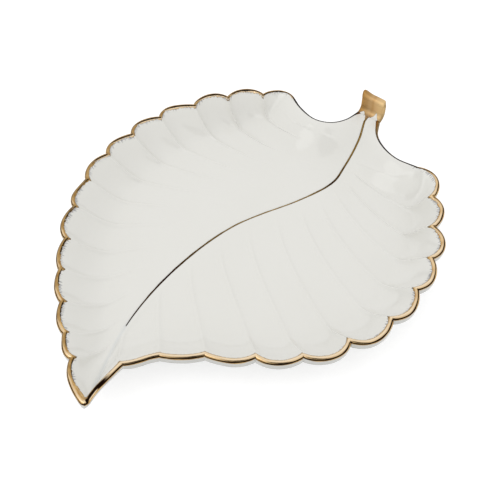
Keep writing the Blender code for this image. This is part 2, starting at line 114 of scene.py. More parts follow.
creaseForm = {
    "tipClimb": 0.040,  # stretch over which the midrib climbs to the tip
    "tipLift": 0.50,  # of the way from floor to rim
    "tipPower": 1.6,
    "stemClimb": 0.043,  # and the stretch over which it climbs to the stem
    "goldDepth": 0.00045,  # depth of the crease under the gold line
    "bareDepth": 0.00028,  # and where it runs on to the tip without gold
    "halfWidth": 0.0007,
    "sharpness": 1.5,
    "gilded": (0.13, 0.19),  # of the midrib from the tip, where the one turns to the other
    "tipFade": 0.05,  # of the midrib, over which the crease begins
}
stemForm = {
    "angle": -3.0,  # its heading, seen from above
    "root": (1.005, 0.0043),
    "width": 0.0148,  # at the root
    "middle": 0.0152,  # half way up
    "top": 0.0122,  # at the rolled end
    "steep": 88.0,
    "bend": 0.005,  # radius, out of the neck
    "rise": 0.0041,
    "curl": 0.0011,  # radius, over the top
    "curlEnd": -70.0,
    "widthShares": (0.0, 6 / 17, 7 / 17, 1.0),  # of the way between the widths, at each turn's end
}
footForm = {
    "center": (0.54, 0.05),
    "length": 0.124,  # of the ring's middle line
    "width": 0.104,
    "height": 0.0025,
    "seat": 0.0042,  # thickness where it leaves the floor
    "tread": 0.0028,  # and where it stands
}

view = {
    "target": (0.1098, -0.0048),  # in the leaf's own frame
    "azimuth": -53.69,
    "elevation": 48.0,
    "distance": 0.41098,
    "focal": 850.0,  # in pixels
    "frame": 500,
    "sensor": 36.0,
}

halfRim = leafForm["rimWall"] / 2
halfFloor = leafForm["floorWall"] / 2
floorCenter = leafForm["floorLift"] + halfFloor
rimCenter = leafForm["rimHeight"] - halfRim
lobeSteps = math.lcm(leafForm["rightLobes"], leafForm["leftLobes"]) * leafForm["fineness"]
neckSteps = leafForm["neckSteps"] * leafForm["fineness"]
rootSteps = leafForm["rootSteps"] * leafForm["fineness"]
sideSteps = lobeSteps + neckSteps + rootSteps


def planPoint(share):
    return np.array([share[0] * leafForm["length"], share[1] * leafForm["width"]])


def mix(a, b, t):
    return a + (b - a) * t


def smoothStep(t):
    t = np.clip(t, 0.0, 1.0)
    return t * t * (3 - 2 * t)


def ramp(value, low, high):
    return smoothStep((value - low) / (high - low))


# A table of places and values, read at other places
def readTable(table, place):
    return np.interp(place, *np.array(table).T)


def unit(v):
    return v / np.linalg.norm(v, axis=-1, keepdims=True)


# A smooth curve through all its points
def smoothLine(points, steps=24):
    points = np.asarray(points, float)
    ends = np.vstack([2 * points[0] - points[1], points, 2 * points[-1] - points[-2]])
    t = (np.arange(steps) / steps)[:, None]
    spans = []
    for a, b, c, d in zip(ends, ends[1:], ends[2:], ends[3:]):
        spans.append(0.5 * (2 * b + (c - a) * t + (2 * a - 5 * b + 4 * c - d) * t**2
                            + (3 * b - a - 3 * c + d) * t**3))
    return np.vstack(spans + [points[-1:]])


class Course:  # a plan curve read at lengths along it
    def __init__(self, points):
        self.points = points
        gaps = np.linalg.norm(np.diff(points, axis=0), axis=1)
        self.lengths = np.concatenate([[0.0], np.cumsum(gaps)])
        self.length = self.lengths[-1]

    def at(self, length):
        return np.stack([np.interp(length, self.lengths, self.points[:, k]) for k in (0, 1)], axis=-1)

    def direction(self, length):
        reach = self.length / len(self.points)
        before, after = np.maximum(length - reach, 0.0), np.minimum(length + reach, self.length)
        return unit(self.at(after) - self.at(before))


# One lobe of the edge: an arc over its chord, made fuller at its first half
def lobeArc(start, end, bulge, lean, side, steps):
    chord = end - start
    outward = np.array([chord[1], -chord[0]]) * side
    half = 2 * math.atan(2 * bulge)
    center = (start + end) / 2 - outward * (math.cos(half) / (2 * math.sin(half)))
    shares = np.arange(steps) / steps
    angle = side * 2 * half * shares
    arm = start - center
    turned = np.stack([arm[0] * np.cos(angle) - arm[1] * np.sin(angle),
                       arm[0] * np.sin(angle) + arm[1] * np.cos(angle)], axis=-1)
    return center + turned + outward * lean * np.sin(math.tau * shares)[:, None]


midrib = Course(smoothLine([planPoint(share) for share in outline["midrib"]]))
rootCenter = planPoint(stemForm["root"])
stemTurn = math.radians(stemForm["angle"])
stemHeading = np.array([math.cos(stemTurn), math.sin(stemTurn)])
stemAcross = np.array([-stemHeading[1], stemHeading[0]])


# Centre line of the rim down one side, from the tip to the middle of the stem's root
def edgeLine(side):
    lobes = leafForm["rightLobes"] if side > 0 else leafForm["leftLobes"]
    steps = lobeSteps // lobes
    root = rootCenter - stemAcross * side * (stemForm["width"] / 2 - halfRim)
    neckLine = [planPoint(share) for share in outline["neck"][side]]
    corners = [planPoint(share) for share in outline["notches"][side]]
    points = [lobeArc(*shape, side, steps) for shape in zip(
        corners, corners[1:], lobeForm["bulge"][side], lobeForm["lean"][side])]
    neck = Course(smoothLine(neckLine + [root]))
    reach = neck.length - halfRim
    points.append(neck.at(reach * np.arange(neckSteps) / (neckSteps - 1)))
    points.append(mix(root, rootCenter, (np.arange(rootSteps + 1) / rootSteps)[:, None]))
    phase = np.zeros(sideSteps + 1)
    phase[:lobeSteps] = (np.arange(lobeSteps) % steps) / steps
    return np.vstack(points), phase


def outwardOf(before, after, side):
    along = unit(after - before)
    return np.stack([along[:, 1], -along[:, 0]], axis=-1) * side


# Everything known at each place on the edge of one side, index 0 at the tip
def makeStations(side):
    points, phase = edgeLine(side)
    other, _ = edgeLine(-side)
    count = sideSteps + 1
    index = np.arange(count)
    # the whole edge as one loop, so that a window may reach round the tip and the root
    loop = np.vstack([points, other[-2:0:-1]])
    lobes = leafForm["rightLobes"] if side > 0 else leafForm["leftLobes"]
    span = lobeSteps // lobes
    soft = leafForm["fineness"] // 2  # steps over which the glaze rounds a notch
    near = {"points": points, "phase": phase, "index": index, "side": side}
    near["normal"] = outwardOf(loop[index - soft], loop[(index + soft) % len(loop)], side)
    near["inward"] = -outwardOf(loop[index - span], loop[(index + span) % len(loop)], side)
    near["atRoot"] = index >= lobeSteps + neckSteps
    near["atCorner"] = index == lobeSteps + neckSteps
    near["neck"] = smoothStep((index - lobeSteps * (1 - 1 / leafForm["rightLobes"])) / neckSteps)
    shoulder = smoothStep((index - lobeSteps) * leafForm["rightLobes"] / lobeSteps + 1)
    near["slope"] = np.radians(mix(leafForm["rimSlope"], leafForm["neckSlope"], shoulder))
    roots = smoothLine(outline["veinRoots"])
    share = np.interp(np.minimum(index / lobeSteps, 1.0), roots[:, 0], roots[:, 1])
    late = np.maximum((index - lobeSteps) / (neckSteps + rootSteps), 0.0)
    near["share"] = mix(share, 1.0, late)
    near["nearStem"] = ramp(late, *leafForm["plainNeck"])
    toTip = np.linalg.norm(points - points[0], axis=1)
    blunting = leafForm["tipBlunting"] * np.exp(-(toTip / leafForm["tipRound"])**2)
    points -= near["normal"][0] * blunting[:, None]
    steps = np.linalg.norm(np.diff(points, axis=0), axis=1)
    near["run"] = side * np.concatenate([[0.0], np.cumsum(steps)])
    addVeins(near)
    width = mix(leafForm["wallWidth"], leafForm["neckWidth"], near["neck"])
    near["width"] = np.minimum(width, near["length"])
    neckLine = near["points"][lobeSteps:lobeSteps + neckSteps]
    gaps = lineGap(near["veins"].reshape(-1, 2), neckLine[::leafForm["fineness"] // 2])
    near["neckGaps"] = gaps.reshape(near["veins"].shape[:2])
    near["fallEnd"] = np.minimum(freeFall(near, near["length"][:, None])[1][:, 0], 1.0)
    return near


# Distance of each place from a line of points, up to a metre
def lineGap(plan, line):
    gap = np.full(len(plan), 1.0)
    for a, b in zip(line, line[1:]):
        way = b - a
        t = np.clip(((plan - a) @ way) / (way @ way), 0.0, 1.0)
        gap = np.minimum(gap, np.linalg.norm(plan - a - t[:, None] * way, axis=1))
    return gap


# The wall falls along its vein, but no faster than it gets away from the neck: share of the fall
# along the vein, share of the whole fall, the wall's plan width there, how far the neck decides
def freeFall(near, distance):
    width, neckWidth, blend = near["width"][:, None], leafForm["neckWidth"], leafForm["fallBlend"]
    gaps = np.array([np.interp(*row) for row in zip(distance, near["lengths"], near["neckGaps"])])
    own = np.maximum(distance / width, 1e-6)
    beside = np.maximum(gaps / neckWidth, 1e-6)
    fall = (own**-blend + beside**-blend)**(-1 / blend)
    spread = 1 / ((fall / own)**(blend + 1) / width + (fall / beside)**(blend + 1) / neckWidth)
    return own, fall, spread, (fall / beside)**blend


# The same, ending at 1 on the midrib and without the neck's say beside the stem
def wallFall(near, distance):
    own, fall, spread, byNeck = freeFall(near, distance)
    end, plain = near["fallEnd"][:, None], near["nearStem"][:, None]
    return mix(fall / end, own, plain), mix(spread * end, near["width"][:, None], plain), byNeck


# A bent line from each place on the edge down the wall and over the floor to the midrib
def addVeins(near):
    start = midrib.at(near["share"] * midrib.length)
    run = near["points"] - start
    length = np.linalg.norm(run, axis=1)[:, None]
    tipward = -midrib.direction(near["share"] * midrib.length)
    lean = unit(run / length + tipward * (veinForm["lean"] * (1 - near["neck"]))[:, None])
    bend = start + lean * length * veinForm["bow"]
    past = near["index"] - lobeSteps
    close = np.where(past < 0, 1 + past * leafForm["rightLobes"] / lobeSteps, 1 - past / neckSteps)
    square = mix(veinForm["square"], veinForm["neckSquare"], smoothStep(close))
    square = near["points"] + near["inward"] * length * square[:, None]
    t = np.linspace(0, 1, veinForm["steps"] + 1)[None, :, None]
    a, b, c, d = (p[:, None, :] for p in (near["points"], square, bend, start))
    near["veins"] = a * (1 - t)**3 + 3 * b * t * (1 - t)**2 + 3 * c * t**2 * (1 - t) + d * t**3
    gaps = np.linalg.norm(np.diff(near["veins"], axis=1), axis=2)
    near["lengths"] = np.concatenate([np.zeros((len(gaps), 1)), np.cumsum(gaps, axis=1)], axis=1)
    near["length"] = near["lengths"][:, -1]
    leaving = unit(near["veins"][:, -5] - near["veins"][:, -1])
    near["along"] = (leaving * midrib.direction(near["share"] * midrib.length)).sum(axis=1)


def pick(near, which):
    return {key: value[which] if isinstance(value, np.ndarray) else value
            for key, value in near.items()}


# Both sides in one row round the tray, from the tip up the right and back down the left
def joinSides(right, left):
    whole = {}
    for key, value in right.items():
        if isinstance(value, np.ndarray):
            whole[key] = np.concatenate([value, left[key][-2:0:-1]])
    whole["side"] = np.concatenate([np.ones(len(right["index"])), -np.ones(len(left["index"]) - 2)])
    return whole


# Smooth climb over a stretch, with the slopes it starts and ends at
def climb(t, stretch, rise, firstSlope, lastSlope):
    t = np.clip(t, 0.0, 1.0)
    height = firstSlope * t * (1 - t)**2 - lastSlope * t * t * (1 - t)
    height = rise * smoothStep(t) + stretch * height
    slope = rise / stretch * 6 * t * (1 - t)
    slope = slope + firstSlope * (1 - t) * (1 - 3 * t) + lastSlope * t * (3 * t - 2)
    return height, slope


# Height of the middle surface along the midrib, and its slope there toward the stem
def crease(share):
    gone = share * midrib.length
    left = (1 - share) * midrib.length + np.linalg.norm(rootCenter - midrib.points[-1])
    full = rimCenter - floorCenter
    endSlope = math.tan(math.radians(leafForm["neckSlope"]))
    stretch = creaseForm["stemClimb"]
    up, slope = climb(1 - left / stretch, stretch, full, 0.0, endSlope)
    nearTip = np.maximum(1 - gone / creaseForm["tipClimb"], 0.0)
    power = creaseForm["tipPower"]
    lift = full * creaseForm["tipLift"]
    up = up + lift * nearTip**power
    slope = slope - lift / creaseForm["tipClimb"] * power * nearTip**(power - 1)
    return floorCenter + up, slope


# Height of the middle surface at a plan distance in from the rim, and its slope
def middleSurface(near, distance):
    width = near["width"][:, None]
    spare = near["length"][:, None] - width
    climbing = np.where(spare > 1e-7, smoothStep(distance / np.maximum(spare, 1e-7)), 1.0)
    height, slope = crease(near["share"])
    low = mix(floorCenter, height[:, None], climbing)
    rise = rimCenter - low
    fall, spread, byNeck = wallFall(near, distance)
    last = mix(np.tan(near["slope"])[:, None], math.tan(math.radians(leafForm["neckSlope"])), byNeck)
    last = np.minimum(last, leafForm["steepest"] * rise / spread)
    first = slope[:, None] * near["along"][:, None] * (1 - smoothStep(spare / width))
    up, grade = climb(1 - fall, spread, rise, first, last)
    return low + up, grade


def veinPoints(near, distance):
    plan = np.empty(distance.shape + (2,))
    for k in range(len(distance)):
        for axis in (0, 1):
            plan[k, :, axis] = np.interp(distance[k], near["lengths"][k], near["veins"][k, :, axis])
    return plan


# How deep a lobe lies below the narrow ridges beside it
def lobeDepth(near, distance):
    fades = [np.array([leafForm["ridgeFade"][side]]) for side in (1, -1)]
    fades = np.where(np.reshape(near["side"], (-1, 1)) > 0, *fades)
    grown = smoothStep(distance / near["width"][:, None] / leafForm["ridgeGrowth"])
    gone = ramp(distance / near["length"][:, None], fades[:, :1], fades[:, 1:])
    onLobes = np.where(near["index"] >= lobeSteps, 0.0, 1 - near["neck"])[:, None]
    toRidge = np.minimum(near["phase"], 1 - near["phase"])
    between = 1 - np.exp(-(toRidge / leafForm["ridgeWidth"])**2)
    return leafForm["ridgeHeight"] * onLobes * grown * (1 - gone) * between[:, None]


# Points of the dish's inside or underside at plan distances in from the rim
def facePoints(near, distance, top):
    plan = veinPoints(near, distance)
    height, grade = middleSurface(near, distance)
    half = mix(halfRim, halfFloor, smoothStep(distance / near["width"][:, None]))
    thick = half * np.sqrt(1 + grade * grade)
    z = height + thick - lobeDepth(near, distance) if top else height - thick
    return np.concatenate([plan, z[..., None]], axis=-1)


# Points of the rounded rim, from turn 1 at its inner side to turn -1 at its outer side
def rimPoints(near, turns, offset=0.0):
    radius = halfRim + offset
    along = radius * np.cos(turns * math.pi / 2)
    across = radius * np.sin(turns * math.pi / 2)
    slope = near["slope"][:, None]
    out = along * np.cos(slope) - across * np.sin(slope)
    up = along * np.sin(slope) + across * np.cos(slope)
    plan = near["points"][:, None, :] + near["normal"][:, None, :] * out[..., None]
    edge = np.where(near["atCorner"], 1.0, 0.0)[:, None] * along
    sideways = np.reshape(near["side"], (-1, 1)) * edge
    rootPlan = near["points"][:, None, :] - stemAcross * sideways[..., None]
    rootPlan = rootPlan - stemHeading * (across * np.sin(slope))[..., None]
    atRoot = near["atRoot"][:, None]
    plan = np.where(atRoot[..., None], rootPlan, plan)
    up = np.where(atRoot, across * np.cos(slope), up)
    return np.concatenate([plan, (rimCenter + up)[..., None]], axis=-1)


rightSide = makeStations(1)
leftSide = makeStations(-1)
print("edge measured:", sideSteps, "steps a side")

# The part's frame has its origin under the middle of its box, the leaf's own at its tip
footLow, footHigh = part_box("foot_ring")
footMiddle = np.array([(footLow[k] + footHigh[k]) / 2 for k in (0, 1)])
shift = planPoint(footForm["center"]) - footMiddle
farAway = 1.0  # metres, past every reach on the tray
rayHeight = 0.1  # metres, above all of the tray


# Points are a grid of rows and columns, and attributes whatever spreads over it
def addPiece(name, points, faces, node, material, attributes=None):
    points = np.array(points, float)
    points[..., :2] -= shift
    mesh = bpy.data.meshes.new(name)
    mesh.from_pydata(points.reshape(-1, 3).tolist(), [], faces)
    mesh.validate()
    for label, values in (attributes or {}).items():
        layer = mesh.attributes.new(label, "FLOAT", "POINT")
        layer.data.foreach_set("value", np.array(np.broadcast_to(values, points.shape[:-1]), float).ravel())
    mesh.shade_smooth()
    mesh.materials.append(material)
    piece = bpy.data.objects.new(name, mesh)
    bpy.context.scene.collection.objects.link(piece)
    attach(piece, "root")
    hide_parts(node)
    return piece


def gridFaces(rows, columns, closedRows=False, closedColumns=False):
    faces = []
    for row in range(rows if closedRows else rows - 1):
        here, there = row * columns, (row + 1) % rows * columns
        for column in range(columns if closedColumns else columns - 1):
            beside = (column + 1) % columns
            faces.append((here + column, here + beside, there + beside, there + column))
    return faces


wobbleCells = 4096
wobbleStart = 1000.0  # cells, far enough that every run stays above zero


# Slow and fine unevenness along a line, the same at each run
def wobble(run, size, seed):
    values = np.random.default_rng(seed).uniform(-1.0, 1.0, wobbleCells)
    place = np.asarray(run) / size + wobbleStart
    cell = np.floor(place).astype(int)
    return mix(values[cell % wobbleCells], values[(cell + 1) % wobbleCells], smoothStep(place - cell))


rolledRim = {
    "skirt": 0.0020,  # how far the rim's outside hangs down under its gold
    "turn": (0.25, 1.0),  # of the outer quarter of the rounding, where it starts to and where it does
    "fade": 0.0075,  # where the wall is its own thickness again
    "tipShare": 0.3,  # of the skirt, on the right side beside the tip
    "tipReach": (0.018, 0.030),
}

bodyGrid = {
    "everyStation": 2,
    "midribReaches": (0.0, 0.15, 0.3, 0.45, 0.6, 0.8, 1.1, 1.5, 2.1, 3.0),  # mm beside the midrib
    "midribShare": 0.45,  # most of a short vein that these rows take up
    "leastSlant": 0.6,  # between a vein and the midrib
    "wallShare": 0.8,
    "floorRows": 14,
    "wallRows": 20,
    "rimRows": 14,
    "backRows": 10,
    "bottomRows": 8,
}

dryBrush = {
    # how much dry gold the brush left inside the rim, by the share of the side's lobes from the tip
    "amount": {1: ((0.0, 0.52), (0.35, 0.56), (0.6, 0.68), (0.93, 0.68), (1.0, 0.54), (1.05, 0.0)),
               -1: ((0.0, 0.60), (0.4, 0.64), (0.7, 0.60), (1.0, 0.54), (1.05, 0.0))},
    "reach": 0.0056,
    "uneven": 0.10,
    "unevenSize": 0.0035,
}


# How deep the crease along the midrib is: under the gold line, then shallower to the tip
def creaseDepth(share):
    depth = mix(creaseForm["bareDepth"], creaseForm["goldDepth"], ramp(share, *creaseForm["gilded"]))
    return depth * smoothStep(share / creaseForm["tipFade"])


def draggedGold(near, rimGap):
    share = near["index"] / lobeSteps
    amounts = [readTable(dryBrush["amount"][side], share) for side in (1, -1)]
    amount = np.where(near["side"] > 0, *amounts)
    amount = amount + wobble(near["run"], dryBrush["unevenSize"], 41) * dryBrush["uneven"]
    inside = rimGap > -halfRim * 2
    return amount[:, None] * (1 - smoothStep(rimGap / dryBrush["reach"])) * inside


# Distances in from the rim of the dish's inner rows, from the midrib out, and the wall's width there
def innerRows(near):
    length = near["length"][:, None]
    midribWay = midrib.direction(near["share"] * midrib.length)
    leaving = unit(near["veins"][:, -4] - near["veins"][:, -1])
    slant = np.abs(leaving[:, 0] * midribWay[:, 1] - leaving[:, 1] * midribWay[:, 0])
    reaches = np.array(bodyGrid["midribReaches"])[None, :] / 1000
    reaches = reaches / np.maximum(slant, bodyGrid["leastSlant"])[:, None]
    reaches = reaches * np.minimum(1.0, bodyGrid["midribShare"] * length / reaches[:, -1:])
    last = length - reaches[:, -1:]
    width = np.minimum(near["width"][:, None], last * bodyGrid["wallShare"])
    bead = (halfRim * np.sin(near["slope"]))[:, None]
    floorShares = 1 - (np.arange(bodyGrid["floorRows"]) + 1)[None, :] / bodyGrid["floorRows"]
    wallShares = 1 - (np.arange(bodyGrid["wallRows"]) + 1)[None, :] / (bodyGrid["wallRows"] + 1)
    rows = [length - reaches, mix(width, last, floorShares), mix(bead, width, wallShares)]
    return np.hstack(rows), width


def makeLeafBody(material):
    near = pick(joinSides(rightSide, leftSide), slice(None, None, bodyGrid["everyStation"]))
    inside, width = innerRows(near)
    turns = np.linspace(1, -1, bodyGrid["rimRows"] + 1)[None, :] * np.ones_like(width)
    backShares = np.linspace(0, 1, bodyGrid["backRows"] + 1)[None, :]
    bottomShares = np.linspace(0, 1, bodyGrid["bottomRows"] + 1)[None, 1:]
    under = np.hstack([width * backShares, mix(width, near["length"][:, None], bottomShares)])
    top, rim, bottom = facePoints(near, inside, True), rimPoints(near, turns), facePoints(near, under, False)
    grown = np.where(near["side"] > 0, ramp(near["run"], *rolledRim["tipReach"]), 1.0)
    skirt = (rolledRim["skirt"] * mix(rolledRim["tipShare"], 1.0, grown) * (1 - near["neck"]))[:, None]
    rim[..., 2] -= skirt * ramp(-turns, *rolledRim["turn"])
    bottom[..., 2] -= skirt * (1 - smoothStep(under / rolledRim["fade"]))
    gap = lineGap(top[..., :2].reshape(-1, 2), midrib.points[::2]).reshape(inside.shape)
    cut = np.exp(-(gap / creaseForm["halfWidth"])**creaseForm["sharpness"])
    top[..., 2] -= creaseDepth(near["share"])[:, None] * cut
    points = np.concatenate([top, rim, bottom], axis=1)
    rows, columns = points.shape[:2]
    overRounding = -halfRim * (1 - turns) * math.pi / 2
    rimGap = np.hstack([inside, overRounding, np.full(under.shape, -farAway)])
    body = addPiece("leaf_porcelain", points, gridFaces(rows, columns, closedRows=True),
                    "leaf_body", material, {
                        "rimGap": rimGap,
                        "rimRun": near["run"][:, None],
                        "midribGap": np.hstack([gap, np.full((rows, columns - gap.shape[1]), farAway)]),
                        "dragged": draggedGold(near, rimGap),
                    })
    weld(body)
    return body


# The rows meet along the midrib from both sides
def weld(piece):
    work = bmesh.new()
    work.from_mesh(piece.data)
    bmesh.ops.remove_doubles(work, verts=work.verts, dist=1e-6)
    bmesh.ops.recalc_face_normals(work, faces=work.faces)
    work.to_mesh(piece.data)
    work.free()


# The dish's own faces in the leaf's frame, to lay gold on
def makeSurface(body):
    corners = [corner.co + Vector((*shift, 0.0)) for corner in body.data.vertices]
    return BVHTree.FromPolygons(corners, [face.vertices[:] for face in body.data.polygons])


def layOn(surface, plan, lift):
    flat = plan.reshape(-1, 2)
    heights = np.empty(len(flat))
    for k, (x, y) in enumerate(flat):
        hit = surface.ray_cast(Vector((x, y, rayHeight)), Vector((0.0, 0.0, -1.0)))
        heights[k] = hit[0].z if hit[0] else rimCenter
    heights = heights.reshape(plan.shape[:-1]) + lift
    return np.concatenate([plan, heights[..., None]], axis=-1)


# Bearings run round the tray from the camera's side over the image's right, and tell where a part of the rim
# looks to, so the stripes read by bearing are painted reflections. A stripe is its middle in degrees out
# from the rim's top, its half width and strength
rimGold = {
    "lift": 0.00004,  # thickness at which the fired film shows
    "sunk": -0.00006,  # its edges run in under the glaze
    "rows": 24,
    # its inner edge beside the rounding's, by bearing
    "band": ((0, 0.0002), (110, 0.0002), (150, 0.0005), (205, 0.0004), (235, -0.0001), (265, -0.0002),
             (290, -0.0002), (320, 0.0002), (360, 0.0002)),
    "tipBand": (0.0016, 0.016),  # wider beside the tip on the left, and how far
    "neckBand": -0.00025,
    "slowSize": 0.006,
    "slowWobble": 0.0002,
    "neckWobble": 0.3,  # of the slow one
    "bristleSize": 0.0006,
    "bristle": 0.0005,
    "fineBristle": (0.6, 0.8),  # size and amount, of the coarse one's
    "leastBristle": -0.3,
    "outside": -0.0029,  # how far round the rim it reaches
    "outsideSize": 0.004,
    "outsideWobble": 0.00012,
    # point of gold in each notch, by bearing
    "spur": ((0, 0.0007), (120, 0.0010), (180, 0.0003), (235, 0.0003), (270, 0.0013), (360, 0.0007)),
    "spurShare": 0.07,  # of the lobe beside it
    "spurBrown": 0.7,
    "spurStart": 0.0007,
    # painted dark reflection line along the gold: bearing and stripe
    "paintedDark": ((0, 50, 15, 1.7), (25, 48, 14, 1.7), (40, 50, 18, 1.5), (56, 42, 18, 1.5), (67, 26, 14, 1.3),
             (80, 26, 15, 1.2), (90, 30, 15, 1.3), (110, 20, 15, 1.0), (130, 2, 15, 1.2),
             (165, -21, 17, 1.8), (190, -23, 17, 1.9), (205, -25, 17, 1.8), (235, -10, 15, 1.2),
             (247, 26, 14, 1.0), (255, 34, 12, 1.0), (270, 44, 13, 1.0), (279, 42, 14, 1.1),
             (284, 40, 14, 1.2), (296, 44, 13, 1.2), (320, 62, 13, 1.0), (340, 58, 14, 1.3),
             (360, 50, 15, 1.7)),
    # second painted dark reflection line, at its inner edge
    "innerPaintedDark": ((0, -46, 10, 0.0), (225, -40, 12, 0.0), (245, -20, 14, 1.3), (262, -28, 14, 1.4),
                  (285, -36, 13, 1.2), (300, -46, 11, 0.8), (320, -46, 10, 0.0), (360, -46, 10, 0.0)),
    "innerShare": (0.25, 0.65),  # of the lobe, where it starts to and where it is whole
    # and a painted pale highlight on the gold
    "pale": ((0, -8, 34, 0.95), (50, -4, 32, 0.95), (67, -10, 24, 0.75), (80, -8, 22, 0.35),
             (100, -18, 24, 0.6), (135, -52, 22, 0.8), (230, -52, 18, 0.8), (250, 62, 12, 0.4),
             (270, 66, 12, 0.6), (290, 12, 12, 0.5), (305, 12, 16, 0.7), (330, 0, 30, 0.7),
             (360, -8, 34, 0.95)),
    "neckStripes": {"paintedDark": (18, 60, 1.5), "innerPaintedDark": (-46, 10, 0.0), "pale": (-46, 10, 0.0)},
    "neckBlend": (-0.075, 0.175),  # of the neck, where its own stripes take over
    # painted darkening of the whole gold, by bearing
    "paintedDarkness": ((0, 0.0), (60, 0.0), (80, 0.2), (150, 0.42), (230, 0.45), (255, 0.50), (285, 0.42),
              (310, 0.2), (360, 0.0)),
    "lineUneven": (0.8, 0.2, 0.25),  # steady share of the lines, share by lobe and by chance
    "lineUnevenSize": 0.003,
    # painted dark reflection on the right of the tip: stripe, where it begins and where it ends
    "tipPaintedDark": ((8, 34, 1.6), (0.0004, 0.000401), (0.007, 0.021)),
    "tipGlint": ((40, 9, 1.0), (0.0012, 0.0022), (0.0065, 0.0095)),  # painted highlight along its middle
    "legBrown": 0.66,  # of the stretch beside the stem
    "paintedDarkFree": {1: (0.007, 0.024), -1: (0.0, 0.002)},  # from the stem, where that ends
    "legLength": {1: 0.013, -1: 0.0055},  # how far the stem's gold runs down the neck's edge
    "legWidth": {1: 0.0012, -1: 0.0015},
    "legPower": 1.5,
}


# Points over the rim: across is 0 where the rounding starts, more inside it and less round it
def overRim(near, across, lift, surface):
    bead = (halfRim * np.sin(near["slope"]))[:, None]
    quarter = halfRim * math.pi / 2
    face = facePoints(near, bead + np.maximum(across, 0.0), True)
    inner = across > 0
    lifts = lift / np.cos(near["slope"])[:, None]
    face[inner] = layOn(surface, face[inner][:, :2], lifts[inner])
    rim = rimPoints(near, np.minimum(1 + across / quarter, 1.0), lift)
    return np.where((across >= 0)[..., None], face, rim)


# The edge from the left side of the stem round the tip to its right side
def rimStations():
    stations = joinSides(rightSide, leftSide)
    reach = lobeSteps + neckSteps + 1
    count = len(stations["index"])
    near = pick(stations, np.concatenate([np.arange(count - reach + 1, count), np.arange(reach)]))
    near["isLobe"] = near["index"] <= lobeSteps
    toNotch = np.minimum(near["phase"], 1 - near["phase"])
    near["atNotch"] = np.exp(-(toNotch / rimGold["spurShare"])**2) * near["isLobe"]
    looksTo = np.degrees(np.arctan2(near["normal"][:, 0], -near["normal"][:, 1]))
    near["bearing"] = (looksTo - view["azimuth"]) % 360
    near["toStem"] = {1: near["run"].max() - near["run"], -1: near["run"] - near["run"].min()}
    return near


# How far in from the rounding the gold reaches
def goldBand(near):
    run = near["run"]
    slow = wobble(run, rimGold["slowSize"], 3) * rimGold["slowWobble"]
    finer, weaker = rimGold["fineBristle"]
    bristle = wobble(run, rimGold["bristleSize"], 5)
    bristle = np.maximum(bristle, wobble(run, rimGold["bristleSize"] * finer, 6) * weaker)
    wider, reach = rimGold["tipBand"]
    band = readTable(rimGold["band"], near["bearing"])
    band = band + np.where(run < 0, wider * smoothStep(1 + run / reach), 0.0)
    band = band + slow + np.maximum(bristle, rimGold["leastBristle"]) * rimGold["bristle"]
    band = band + readTable(rimGold["spur"], near["bearing"]) * near["atNotch"]
    band = mix(band, rimGold["neckBand"] + slow * rimGold["neckWobble"], near["neck"])
    for side, toStem in near["toStem"].items():
        leg = np.maximum(1 - toStem / rimGold["legLength"][side], 0.0)
        band = band + rimGold["legWidth"][side] * leg**rimGold["legPower"]
    return band


# Painted dark reflections and painted pale highlights on the gold
def goldTones(near, across):
    run, bearing = near["run"], near["bearing"]
    outward = np.degrees(-across / halfRim - near["slope"][:, None])
    isNeck = ramp((near["index"] - lobeSteps) / neckSteps, *rimGold["neckBlend"])[:, None]

    def stripe(middle, half, strength):
        return np.exp(-((outward - middle) / half)**2) * strength

    def rimStripe(which):
        places, *shape = np.array(rimGold[which]).T
        return stripe(*(mix(np.interp(bearing, places, values)[:, None], onNeck, isNeck)
                        for values, onNeck in zip(shape, rimGold["neckStripes"][which])))

    def tipStripe(which):
        shape, begins, ends = rimGold[which]
        return stripe(*shape) * (ramp(run, *begins) * (1 - ramp(run, *ends)))[:, None]

    steady, byLobe, byChance = rimGold["lineUneven"]
    uneven = steady + byLobe * np.sin(math.pi * near["phase"])
    uneven = uneven + byChance * wobble(run, rimGold["lineUnevenSize"], 9)
    late = ramp(near["phase"], *rimGold["innerShare"]) * near["isLobe"]
    pale, glint = rimStripe("pale"), tipStripe("tipGlint")
    paintedDarkness = readTable(rimGold["paintedDarkness"], bearing) * (1 - near["neck"])
    spur = rimGold["spurBrown"] * near["atNotch"][:, None] * smoothStep(across / rimGold["spurStart"])
    paintedDark = np.maximum.reduce([rimStripe("paintedDark") * uneven[:, None],
                              rimStripe("innerPaintedDark") * (late * uneven)[:, None],
                              paintedDarkness[:, None] * (1 - pale), spur, tipStripe("tipPaintedDark")])
    free = np.prod([ramp(near["toStem"][side], *ends) for side, ends in rimGold["paintedDarkFree"].items()], axis=0)
    return mix(rimGold["legBrown"], paintedDark * (1 - glint), free[:, None]), np.maximum(pale, glint)


def makeRimGold(surface, material):
    near = rimStations()
    band = goldBand(near)
    outside = rimGold["outside"] + wobble(near["run"], rimGold["outsideSize"], 8) * rimGold["outsideWobble"]
    shares = np.linspace(0, 1, rimGold["rows"] + 1)
    across = mix(band[:, None], outside[:, None], shares[None, :])
    across = np.hstack([across[:, :1], across, across[:, -1:]])
    lift = np.full(across.shape[1], rimGold["lift"])
    lift[0] = lift[-1] = rimGold["sunk"]
    # painted dark reflections and painted highlights, as colour on the rim's gold
    paintedDark, pale = goldTones(near, across)
    return addPiece("rim_gold", overRim(near, across, lift[None, :], surface), gridFaces(*across.shape),
                    "rim_gilding", material, {
                        "goldRun": near["run"][:, None],
                        "goldAcross": across,
                        "goldEdge": np.minimum(band[:, None] - across, across - outside[:, None]),
                        "goldPaintedDark": paintedDark,
                        "goldPaintedHighlight": pale,
                    })


